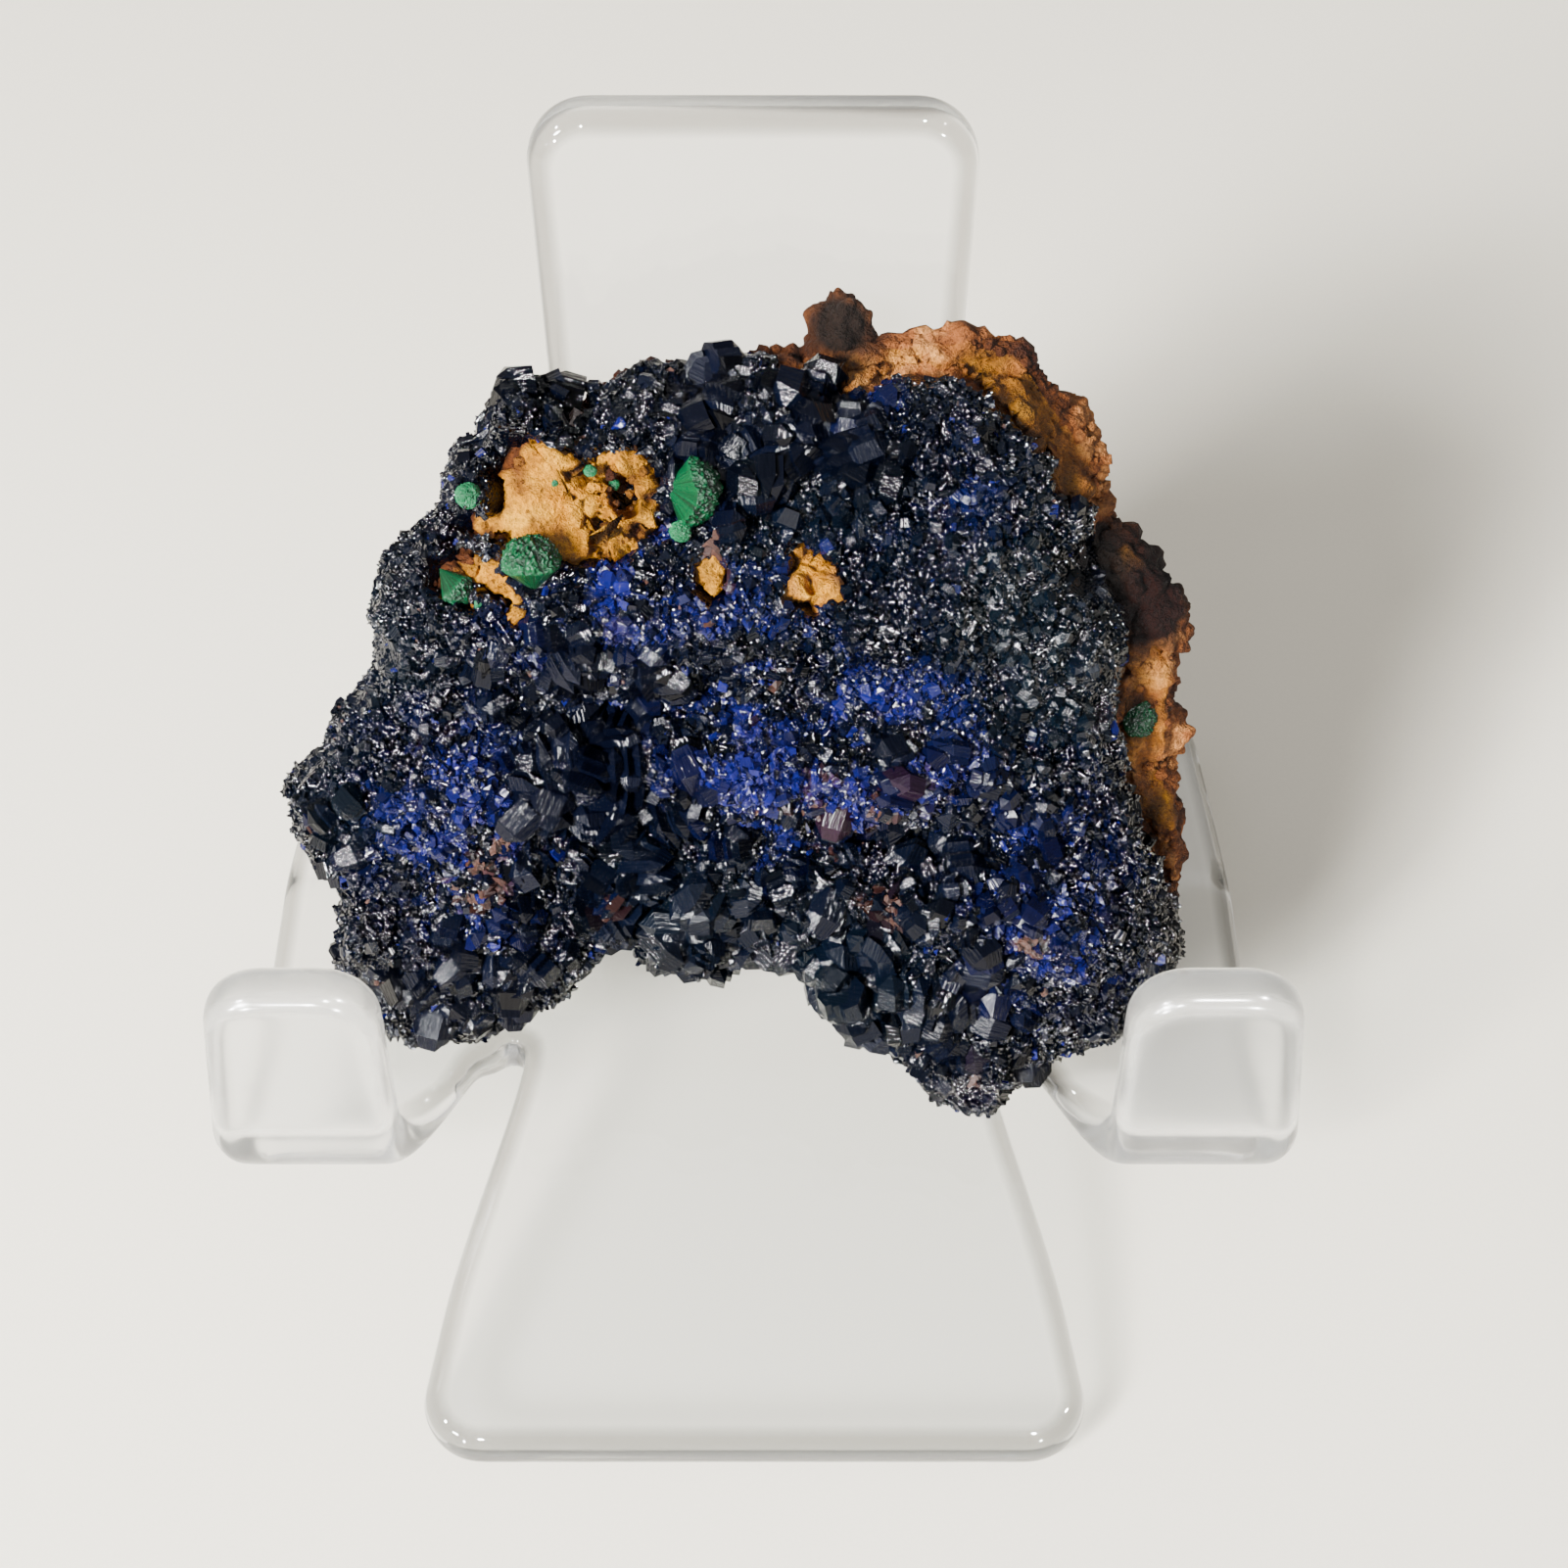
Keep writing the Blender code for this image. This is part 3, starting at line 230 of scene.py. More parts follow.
CORNER = 3.2
SOLE = 0.2  # how much of each rounded foot is ground away to a flat
GENTLE_RADIUS = 9.0  # bend where the foot and the rear legs leave the bridge
OUTLINE_STEP = 0.4  # between points of the outline
FILL_MARGIN = 0.35  # least distance from the outline to the points inside the sheet
CURVE_POINTS = 24  # on each round or flared stretch of the outline
EDGE_TURNS = 17  # slopes round the edge
EDGE_DEPTH = 1.5  # how far in from its outline the sheet's faces start
EDGE_SQUARENESS = 0.8  # 1 is a half-round edge, and less is squarer
# Painted shade on the polished edge at each slope, in degrees, darkening its colour where bent light shows
# dark lines: a wide band above and a line at the middle.
EDGE_SLOPES = (-40, -18, 0, 12, 24, 34, 62, 76, 90)
EDGE_PAINTED_SHADES = (0.0, 0.6, 0.6, 0.1, 0.0, 0.9, 1.0, 0.9, 0.0)

# ---- Stage ----
FLOOR_HALF, FLOOR_Z = 900.0, -0.05
CAMERA_TARGET, CAMERA_AWAY, CAMERA_RISE, LENS = (1.6, 1.27, 24.0), 150.0, 48.0, 63.41
LAMP_TARGET = (0.0, 0.0, 24.0)
KEY_AT, KEY_SIZE = (-390, -445, 380), 215
WINDOW_AT, WINDOW_SIZE = (-205, -235, 200), 38
GLINT_SIZE = 11
# Small lamps that only show as glints.
GLINTS = (
    (70, -170, 320), (-60, -260, 210), (190, -60, 270), (120, -290, 130), (-150, -290, 100),
    (-230, -130, 260), (-270, -240, 120),
)


# ---- Noise ----
def scrambled(at, seed):
    """A scrambled whole number for each corner of a cube lattice."""
    number = at[..., 0] * 374761393 + at[..., 1] * 668265263 + at[..., 2] * 1274126177 + seed * 974634777
    return (number ^ (number >> 13)) * 1103515245


def lattice_noise(points, cell, seed):
    """Smooth noise from -1 to 1: values hashed at the corners of a cube lattice and blended between them."""
    scaled = points / cell
    low = np.floor(scaled).astype(np.int64)
    part = scaled - low
    part = part * part * (3 - 2 * part)
    total = np.zeros(points.shape[:-1])
    for corner in np.ndindex(2, 2, 2):
        value = scrambled(low + np.array(corner), seed)
        value = value ^ (value >> 16)
        share = np.prod(np.where(np.array(corner) == 1, part, 1 - part), axis=-1)
        total += share * ((value & 0xFFFF) / 0x8000 - 1.0)
    return total


def rough_noise(points, cell, layers, seed):
    """Noise of several sizes: each layer has half the cell and half the height of the one before."""
    return sum(lattice_noise(points, cell / 2**k, seed + k) / 2**k for k in range(layers))


def crumb_noise(points, cell, seed):
    """Distance in cells to the nearest of points scattered one to a cube: crumbs with creases between."""
    scaled = points / cell
    low = np.floor(scaled).astype(np.int64)
    nearest = np.full(points.shape[:-1], 9.0)
    for corner in np.ndindex(3, 3, 3):
        at = low + np.array(corner) - 1
        value = scrambled(at, seed)
        centre = np.stack([(value >> shift) & 0xFF for shift in (5, 13, 21)], axis=-1) / 255.0 + at
        nearest = np.minimum(nearest, np.linalg.norm(scaled - centre, axis=-1))
    return nearest


def roughen(points, seed, layers):
    """Moves points in every direction by layers of noise, each (cell, height)."""
    moved = points.copy()
    for layer, (cell, height) in enumerate(layers):
        for axis in range(3):
            moved[..., axis] += height * lattice_noise(points, cell, seed + 10 * layer + axis)
    return moved


def spots(u, w, rows):
    """Sum of round soft spots, each u, w, reach, strength."""
    return sum(s * np.exp(-((u - cu) ** 2 + (w - cw) ** 2) / reach**2) for cu, cw, reach, s in rows)


def ovals(u, w, rows):
    """Sum of soft ovals, each u, w, squared reach along u and along w, strength."""
    return sum(s * np.exp(-((u - cu) ** 2 / along + (w - cw) ** 2 / up)) for cu, cw, along, up, s in rows)


# ---- Stone surfaces ----
def polar_reader(outline, inset_by=0.0, outside=None):
    """Radius of an outline at any angle. An open outline reads outside at angles that it doesn't reach."""
    points = np.array(outline)
    angles = np.arctan2(points[:, 1], points[:, 0])
    order = np.argsort(angles)
    angles, radii = angles[order], np.hypot(points[:, 0], points[:, 1])[order] - inset_by
    turn = 2 * np.pi
    if outside is None:
        angles = np.concatenate([angles[-3:] - turn, angles, angles[:3] + turn])
        radii = np.concatenate([radii[-3:], radii, radii[:3]])
    return lambda theta: np.interp((theta + np.pi) % turn - np.pi, angles, radii, left=outside, right=outside)


crust_radius = polar_reader(CRUST_OUTLINE, OUTLINE_INSET)
rock_own_radius = polar_reader(ROCK_OUTLINE, 0.0, 0.0)


def rock_radius(theta):
    """The rock's outline: its own on the right and along the top, and set in from the crust elsewhere."""
    return np.maximum(crust_radius(theta) - ROCK_INSET, rock_own_radius(theta))


def relief(u, w):
    """Height of the lumps and hollows: a sum of turned bell shapes."""
    total = np.zeros_like(u)
    for cu, cw, length, width, height, turn in RELIEF:
        a = math.radians(turn)
        along = (u - cu) * math.cos(a) + (w - cw) * math.sin(a)
        across = (w - cw) * math.cos(a) - (u - cu) * math.sin(a)
        total += height * np.exp(-((along / length) ** 2) - (across / width) ** 2)
    return total


def clear_of_rock(u, w):
    """True outside every round patch of bare rock."""
    return all((u - cu) ** 2 + (w - cw) ** 2 >= radius**2 for cu, cw, radius in BARE_ROCK)


def face_height(u, w):
    """Height of the crust's face: a dome that falls to 0 at the outline, with relief that fades there."""
    share = np.clip(np.hypot(u, w) / crust_radius(np.arctan2(w, u)), 0, 1)
    fade = np.clip(1.6 * (1 - share), 0, 1)
    return DOME * np.sqrt(1 - share**3) + relief(u, w) * fade


def rock_height(u, w):
    """Height of the rock's front: under the crust, and nearly level with its face where the rock is bare."""
    bare, depth = patches(u, w)
    return face_height(u, w) - CRUST_THICKNESS + (CRUST_THICKNESS - depth) * bare


def rock_back(u, w, share):
    """The rock's back: thicker towards the foot, and rounded in at its edge."""
    return -(ROCK_DEPTH - ROCK_DEPTH_SLOPE * w) * np.sqrt(1 - 0.7 * share**2)


def levelled(points):
    """Points of the stone raised along w so that none is lower than the underside."""
    lowest = (UNDERSIDE_Z - STONE_AT[2] - points[..., 2] * math.sin(STONE_LEAN)) / math.cos(STONE_LEAN)
    raised = points.copy()
    raised[..., 1] = np.maximum(points[..., 1], lowest)
    return raised


def in_polygon(u, w, polygon, soft):
    """1 well inside a polygon and 0 well outside, through the distance to its edges, over a soft width."""
    corners = np.array(polygon)
    share = np.zeros(len(u))
    low, high = corners.min(axis=0) - soft, corners.max(axis=0) + soft
    near = (u > low[0]) & (u < high[0]) & (w > low[1]) & (w < high[1])
    x, y = u[near][:, None], w[near][:, None]
    a, b = corners, np.roll(corners, -1, axis=0)
    edge = b - a
    along = ((x - a[:, 0]) * edge[:, 0] + (y - a[:, 1]) * edge[:, 1]) / (edge**2).sum(axis=1)
    along = np.clip(along, 0, 1)
    away = np.hypot(x - a[:, 0] - along * edge[:, 0], y - a[:, 1] - along * edge[:, 1]).min(axis=1)
    rise = np.where(edge[:, 1] == 0, 1.0, edge[:, 1])
    crossed = ((a[:, 1] > y) != (b[:, 1] > y)) & (x < a[:, 0] + (y - a[:, 1]) * edge[:, 0] / rise)
    signed = np.where(crossed.sum(axis=1) % 2 == 1, away, -away)
    share[near] = np.clip(0.5 + signed / soft, 0, 1)
    return share


def patches(u, w):
    """How much of the rock is bare here, and how far it lies below the crust's face; the edges are ragged."""
    at = np.stack([u, w, np.zeros_like(u)], axis=-1)
    ragged_u = u + 0.30 * rough_noise(at, 1.3, 3, SEED + 30)
    ragged_w = w + 0.30 * rough_noise(at, 1.3, 3, SEED + 40)
    share, depth = np.zeros(len(u)), np.zeros(len(u))
    for down, polygon in PATCHES:
        inside = in_polygon(ragged_u, ragged_w, polygon, 0.35)
        depth = np.where(inside > share, down, depth)
        share = np.maximum(share, inside)
    return share, depth


def crust_plain(theta, q):
    """(u, w, n) of the crust. q runs 0 to 1 from the middle to the rim, and 1 to 2 back round the side."""
    share, side = np.clip(q, 0, 1), np.clip(q - 1, 0, 1)
    reach = np.interp(side, (0.0, 0.45, 1.0), (1.0, 1.015, 0.96))
    radius = crust_radius(theta) * share * reach
    u, w = radius * np.cos(theta), radius * np.sin(theta)
    depth = side * (SKIRT - SKIRT_SLOPE * w)
    n = np.where(q <= 1, face_height(u, w), -depth)
    return levelled(roughen(np.stack([u, w, n], axis=-1), SEED, ((3.0, 0.5), (1.2, 0.45))))


def crust_surface(theta, q):
    """The crust with knobs and grape-like lumps, sunk under the bare rock and tucked in behind its rim."""
    points = crust_plain(theta, q)
    side = np.clip(q - 1, 0, 1)
    u, w = points[:, 0], points[:, 1]
    outward = np.stack([u / 24 * (0.5 + 2 * side), w / 20 * (0.5 + 2 * side), 1.02 - side], axis=-1)
    outward /= np.linalg.norm(outward, axis=-1, keepdims=True)
    fine = 1 - 0.6 * np.clip(growth_at(u, w), 0, 1)
    lumps = 0.95 * (0.5 - crumb_noise(points, 2.3, SEED + 10))
    lumps = lumps + 0.45 * fine * (0.5 - crumb_noise(points, 1.05, SEED + 11))
    knob = np.zeros(len(u))
    for ku, kw, radius in KNOBS:
        knob = np.maximum(knob, np.sqrt(np.clip(radius**2 - (u - ku) ** 2 - (w - kw) ** 2, 0, None)) * 0.8)
    points = points + outward * (np.maximum(lumps, knob + 0.3 * lumps))[:, None]
    bare, _ = patches(u, w)
    hu, hw, reach, depth = HOLLOW
    points[:, 2] -= BARE_DROP * bare + depth * np.exp(-((np.hypot(u - hu, w - hw) / reach) ** 4))
    points[:, :2] *= (1 - 0.12 * bare * np.clip((q - 0.7) / 0.3, 0, 1))[:, None]
    tucked = np.clip((q - 1.05) / 0.1, 0, 1) * (rock_own_radius(theta) > crust_radius(theta))
    points[:, :2] *= (1 - 0.08 * tucked)[:, None]
    return levelled(points)


def rock_plain(theta, q):
    """(u, w, n) of the rock. q runs 0 to 1 over the front, 1 to 2 round the side and 2 to 3 over the back."""
    share = np.where(q <= 2, np.clip(q, 0, 1), np.clip(3 - q, 0, 1))
    side = np.clip(q - 1, 0, 1)
    reach = np.interp(side, (0.0, 0.5, 1.0), (1.0, 1.03, 0.96))
    radius = rock_radius(theta)
    u, w = radius * share * np.cos(theta), radius * share * np.sin(theta)
    n = (1 - side) * rock_height(u, w) + side * rock_back(u, w, share)
    points = np.stack([u * reach, w * reach, n], axis=-1)
    front = roughen(points, SEED + 100, ((4.0, 0.35), (1.7, 0.25)))
    back = roughen(points, SEED + 300, ((5.0, 0.9), (2.2, 0.55)))
    return levelled(front * (1 - side[..., None]) + back * side[..., None])


def normals_of(shape, theta, q):
    """Points of a surface of theta and q, and their unit normals, from small steps along both."""
    here, step = shape(theta, q), 0.004
    along = shape(theta, q + step) - shape(theta, q - step * (q > step))
    turned = shape(theta + step, q) - shape(theta - step, q)
    cross = np.cross(along, turned)
    length = np.linalg.norm(cross, axis=-1, keepdims=True)
    return here, np.where(length > 1e-9, cross / np.maximum(length, 1e-9), (0.0, 0.0, 1.0))


def polar_grid(columns, q_rows):
    """theta and q of a closed surface of rows between two poles."""
    theta = np.tile(np.arange(columns) * 2 * np.pi / columns, len(q_rows))
    q = np.repeat(q_rows, columns)
    return np.concatenate([[0.0], theta, [0.0]]), np.concatenate([[0.0], q, [q_rows[-1]]])


def polar_faces(columns, rows):
    """Faces of such a surface as (corner counts, corners): a fan at each pole and quads between the rows."""
    j = np.arange(columns)
    after = (j + 1) % columns
    first = np.stack([np.zeros_like(j), 1 + j, 1 + after], axis=1)
    low = 1 + np.arange(rows - 1)[:, None] * columns
    quads = np.stack([low + j, low + columns + j, low + columns + after, low + after], axis=-1).reshape(-1, 4)
    end = 1 + (rows - 1) * columns
    last = np.stack([end + j, np.full_like(j, end + columns), end + after], axis=1)
    counts = np.concatenate([np.full(columns, 3), np.full(len(quads), 4), np.full(columns, 3)])
    return counts, np.concatenate([first.ravel(), quads.ravel(), last.ravel()])


# ---- Meshes ----
def stone_to_world(points):
    """Points of the stone's own frame in the frame of the whole object, in millimetres."""
    s, c = math.sin(STONE_LEAN), math.cos(STONE_LEAN)
    turn = np.array(((1, 0, 0), (0, s, -c), (0, c, s)))
    return points @ turn.T + STONE_AT


def new_piece(name, body, material, smooth=True):
    """An object from a body: points, faces as (corner counts, corners), and perhaps point values and a UV."""
    points, (counts, corners), values, uv = (*body, None, None)[:4]
    mesh = bpy.data.meshes.new(name)
    mesh.vertices.add(len(points))
    mesh.vertices.foreach_set("co", (points * MM).astype(np.float32).ravel())
    mesh.loops.add(len(corners))
    mesh.loops.foreach_set("vertex_index", corners.astype(np.int32))
    mesh.polygons.add(len(counts))
    starts = np.concatenate([[0], np.cumsum(counts)[:-1]])
    mesh.polygons.foreach_set("loop_start", starts.astype(np.int32))
    mesh.polygons.foreach_set("use_smooth", np.full(len(counts), smooth))
    mesh.update(calc_edges=True)
    for label, value in (values or {}).items():
        held = mesh.attributes.new(label, "FLOAT", "POINT")
        held.data.foreach_set("value", value.astype(np.float32).ravel())
    if uv is not None:
        layer = mesh.uv_layers.new(name="grain")
        layer.data.foreach_set("uv", uv[corners].astype(np.float32).ravel())
    mesh.materials.append(material)
    made = bpy.data.objects.new(name, mesh)
    bpy.context.scene.collection.objects.link(made)
    return made


def joined_faces(faces, points_each, copies):
    """The faces of many copies of one shape."""
    counts, corners = faces
    shifts = (np.arange(copies) * points_each)[:, None]
    return np.tile(counts, copies), (corners[None, :] + shifts).ravel()


def merged(bodies):
    """(points, faces) of several bodies as one."""
    points = np.concatenate([b[0] for b in bodies])
    starts = np.concatenate([[0], np.cumsum([len(b[0]) for b in bodies])[:-1]])
    counts = np.concatenate([b[1][0] for b in bodies])
    corners = np.concatenate([b[1][1] + start for b, start in zip(bodies, starts)])
    return points, (counts, corners)


def finished(made, stands_for=None):
    """Lets a piece ride on the object, and hides the frame's node that it stands for."""
    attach(made, "root")
    if stands_for:
        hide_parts(stands_for)


def stone_piece(name, body, material, smooth=True, stands_for=None):
    """A finished piece from a body in the stone's own frame."""
    finished(new_piece(name, (stone_to_world(body[0]), *body[1:]), material, smooth), stands_for)


# ---- Crystals ----
# Faces of a blade and of a block, by the order of their corners.
BLADE_FACES = (
    (5, 4, 3, 2, 1, 0), *[(k, (k + 1) % 6, 6 + (k + 1) % 6, 6 + k) for k in range(6)],
    (7, 8, 13, 12), (10, 11, 12, 13), (6, 7, 12), (8, 9, 13), (9, 10, 13), (11, 6, 12),
)
BLOCK_FACES = ((3, 2, 1, 0), *[(k, (k + 1) % 4, 4 + (k + 1) % 4, 4 + k) for k in range(4)], (4, 5, 6, 7))


def face_arrays(faces):
    """A tuple of faces as (corner counts, corners)."""
    return np.array([len(f) for f in faces]), np.concatenate([np.array(f) for f in faces])


def levels(*corners):
    """Corners of many like crystals from the x, y and z of each level, foot first."""
    return np.concatenate([np.stack(np.broadcast_arrays(*level), axis=-1) for level in corners], axis=1)


def blade_points(length, width, thickness, bevel):
    """Corners of tabular crystals along z: flattened six-sided prisms that end in a bevelled wedge."""
    x = np.array((1, 0.55, -0.55, -1, -0.55, 0.55)) / 2 * width[:, None]
    y = np.array((0, 1, 1, 0, -1, -1)) / 2 * thickness[:, None]
    shoulder = (length * (1 - bevel))[:, None] * np.array((0.88, 1, 1, 0.88, 1, 1))
    ridge = np.array((0.2, -0.2)) * width[:, None]
    return levels((x, y, 0.0), (x, y, shoulder), (ridge, 0.0, length[:, None]))


def block_points(length, width, thickness, slant):
    """Corners of small blocky crystals along z: tapering boxes with a slanted top."""
    x = np.array((-1, 1, 1, -1)) / 2 * width[:, None]
    y = np.array((-1, -1, 1, 1)) / 2 * thickness[:, None]
    return levels((x, y, 0.0), (x * 0.62, y * 0.55, length[:, None] + slant[:, None] * x))


def frames_along(aim, spin):
    """Axes (x, y, z) with z along each aim, spun about it by each angle."""
    aim = aim / np.linalg.norm(aim, axis=1, keepdims=True)
    helper = np.where(np.abs(aim[:, :1]) < 0.8, (1.0, 0.0, 0.0), (0.0, 1.0, 0.0))
    x = np.cross(helper, aim)
    x /= np.linalg.norm(x, axis=1, keepdims=True)
    y = np.cross(aim, x)
    c, s = np.cos(spin)[:, None], np.sin(spin)[:, None]
    return x * c + y * s, y * c - x * s, aim


def placed(local, root, axes):
    """Each copy's local points at its root, along its axes."""
    moved = [local[..., k : k + 1] * axis[:, None, :] for k, axis in enumerate(axes)]
    return root[:, None, :] + moved[0] + moved[1] + moved[2]


def growth_at(u, w):
    """How much larger the crystals are here than in the fine druse."""
    return spots(u, w, COARSE_ZONES)


def solid_crystals():
    """The frame's own larger crystals again: root, axes, length, width and growth of each."""
    rng = np.random.default_rng(SEED)
    sites = []
    while len(sites) < CRYSTAL_COUNT:
        theta, share = rng.uniform(-math.pi, math.pi), CRYSTAL_SPREAD * math.sqrt(rng.uniform(0.0, 1.0))
        radius = float(crust_radius(theta)) * share
        u, w = radius * math.cos(theta), radius * math.sin(theta)
        if clear_of_rock(u, w) and all(math.hypot(u - pu, w - pw) > CRYSTAL_ROOM for pu, pw in sites):
            sites.append((u, w))
    rows = []
    for u, w in sites:
        growth = float(spots(u, w, LARGE_CRYSTALS))
        step = 0.05
        here, east, north = face_height(np.array([u, u + step, u]), np.array([w, w, w + step]))
        normal = Vector(((here - east) / step, (here - north) / step, 1.0)).normalized()
        aim = (normal + Vector(rng.normal(0, 0.4, 3))).normalized()
        spin = Matrix.Rotation(math.radians(rng.uniform(0, 180)), 3, "Z")
        turn = aim.to_track_quat("Z", "Y").to_matrix() @ spin
        width = rng.uniform(1.7, 2.4) * (1 + 0.4 * growth)
        blade = growth > 0.8
        length = width * (rng.uniform(1.1, 1.4) if blade else rng.uniform(1.0, 1.3))
        rng.random(2 if blade else 1)  # in the frame these set the thickness, and a blade's bevel
        root = Vector((u, w, here)) - aim * length * 0.5
        rows.append((*root, *turn.col[0], *turn.col[1], *turn.col[2], length, width, growth))
    table = np.array(rows)
    return table[:, :3], [table[:, k : k + 3] for k in (3, 6, 9)], *table[:, 12:].T


def under_malachite(u, w):
    """True where a fan of malachite lies, so that no crystal grows through it."""
    found = np.zeros(len(u), dtype=bool)
    for cu, cw, _, turn, tilt, length, wide, _ in MALACHITE:
        a, flat = math.radians(turn), length * math.cos(math.radians(tilt)) * 0.55
        reach = 0.5 * length * (math.cos(math.radians(tilt)) + math.sin(math.radians(wide)))
        found |= np.hypot(u - cu - flat * math.cos(a), w - cw - flat * math.sin(a)) < reach * 0.6
    return found


def druse_sites(rng, count, most_growth, least_growth=0.0):
    """Random places over the crust that have crust showing, with their normals and growth."""
    theta, along = rng.uniform(-np.pi, np.pi, TRIES * count), rng.uniform(size=TRIES * count)
    q = np.where(rng.uniform(size=TRIES * count) < 0.6, np.sqrt(along), 1 + 0.95 * along)
    weight = crust_radius(theta) ** 2 / WIDE_RADIUS**2
    keep = rng.uniform(0, 1, len(theta)) < weight * 1.6
    theta, q = theta[keep], q[keep]
    points, normals = normals_of(crust_surface, theta, q)
    u, w = points[:, 0], points[:, 1]
    growth = growth_at(u, w)
    bare = patches(u, w)[0] > 0.25 * rng.uniform(size=len(u))
    sunk = (q > 1) & (np.hypot(u, w) < rock_own_radius(np.arctan2(w, u)) + 0.1)
    fits = (growth <= most_growth + 0.3 * rng.uniform(size=len(u))) & (growth >= least_growth)
    keep = ~bare & ~sunk & fits & ~under_malachite(u, w)
    picked = np.flatnonzero(keep)[:count]
    return points[picked], normals[picked], growth[picked]


def grown(rng, count, most_growth, lean, least_growth=0.0):
    """Random crystals over the crust: root, axes that lean off its normal, and growth of each."""
    root, normal, growth = druse_sites(rng, count, most_growth, least_growth)
    axes = frames_along(normal + rng.normal(0, lean, root.shape), rng.uniform(0, np.pi, len(root)))
    return root, axes, growth


def rooted(root, axes, length):
    """Roots moved back into the crust: by half of each crystal over the face, and by more at the rim."""
    share = np.hypot(root[:, 0], root[:, 1]) / crust_radius(np.arctan2(root[:, 1], root[:, 0]))
    sunk = 0.5 + 0.28 * np.clip((share - 0.86) / 0.12, 0, 1)
    return root - axes[2] * (length * sunk)[:, None]


def rust_share(points):
    """How rusty each point is: cloudy inside the rusty spots, with a sharp edge."""
    cloudy = spots(points[:, 0], points[:, 1], RUST) * (0.5 + 0.9 * rough_noise(points, 1.1, 2, SEED + 70))
    return np.clip((cloudy - 0.34) * 4.0, 0, 1)


def crystal_values(rng, points, per_crystal, growth):
    """Values of each crystal, repeated for its corners: tone, blue, slate and rust."""
    u, w = points[:, 0], points[:, 1]
    cloud = rough_noise(points, 1.8, 3, SEED + 60)
    blue = np.clip(1.3 * spots(u, w, BLUE_DRUSE) * np.clip(0.2 + 2.2 * cloud, 0, 1) - 0.25 * growth, 0, 1)
    # A few crystals anywhere are painted bright blue: a painted flash of light from inside them.
    stray = rng.uniform(0.1, 1.2, len(u)), rng.uniform(size=len(u)) < PAINTED_BLUE_FLASH_SHARE
    blue = np.clip(blue * stray[0] + 0.8 * stray[1], 0, 1)
    slate = np.clip(spots(u, w, SLATE_TINT) * rng.uniform(0.4, 1.2, len(u)), 0, 1)
    rust = rust_share(points) * (rng.uniform(size=len(u)) < 0.8)
    rust = np.maximum(rust, rng.uniform(size=len(u)) < STRAY_RUST)
    named = {"tone": rng.uniform(size=len(u)), "blue": blue, "slate": slate, "rust": rust}
    return {label: np.repeat(value, per_crystal) for label, value in named.items()}


def ground_values(points):
    """The same four values as the crystals', smooth over the ground between them."""
    u, w = points[:, 0], points[:, 1]
    return {
        "tone": np.full(len(points), 0.25),
        "blue": np.clip(0.3 * spots(u, w, BLUE_DRUSE), 0, 1),
        "slate": np.clip(0.5 * spots(u, w, SLATE_TINT), 0, 1),
        "rust": rust_share(points),
    }


def field(local, faces, root, axes):
    """Many crystals as one body: corners, faces, and a UV of millimetres across and along each crystal."""
    points, uv = placed(local, root, axes).reshape(-1, 3), local[..., (0, 2)].reshape(-1, 2)
    return points, joined_faces(face_arrays(faces), local.shape[1], len(root)), uv


def crust_ground():
    """The closed surface that the crystals grow from."""
    face_rows = np.linspace(0.02, 1.0, CRUST_FACE_ROWS, endpoint=False)
    theta, q = polar_grid(CRUST_COLUMNS, np.concatenate([face_rows, np.linspace(1.0, 2.0, CRUST_SIDE_ROWS)]))
    points = crust_surface(theta, q)
    points[-1] = (0.0, 0.0, -SKIRT)
    return points, polar_faces(CRUST_COLUMNS, CRUST_FACE_ROWS + CRUST_SIDE_ROWS), ground_values(points)


def fine_crystals(rng, count):
    """Small blocky crystals, narrower in the slate-coloured druse."""
    root, axes, growth = grown(rng, count, most_growth=0.85, lean=0.35)
    width = (0.26 + 0.36 * rng.uniform(size=len(root)) ** 2) * (1 + 0.3 * growth)
    width *= 1 - 0.5 * np.clip(spots(root[:, 0], root[:, 1], SLATE_TINT), 0, 1)
    length = width * rng.uniform(0.9, 1.4, len(root))
    thickness, slant = width * rng.uniform(0.6, 1.0, len(root)), rng.normal(0, 0.5, len(root))
    local = block_points(length, width, thickness, slant)
    points, faces, uv = field(local, BLOCK_FACES, rooted(root, axes, length), axes)
    return points, faces, crystal_values(rng, root, local.shape[1], growth), uv


def medium_crystals(rng, count):
    """Blades of up to two millimetres, everywhere on the crust."""
    root, axes, growth = grown(rng, count, most_growth=1.1, lean=0.4)
    width = rng.uniform(0.55, 1.05, len(root)) * (1 + 0.4 * growth)
    length = width * rng.uniform(0.8, 1.2, len(root))
    thickness = width * rng.uniform(0.4, 0.8, len(root))
    local = blade_points(length, width, thickness, rng.uniform(0.25, 0.5, len(root)))
    points, faces, uv = field(local, BLADE_FACES, rooted(root, axes, length), axes)
    return points, faces, crystal_values(rng, root, local.shape[1], growth + 0.4), uv


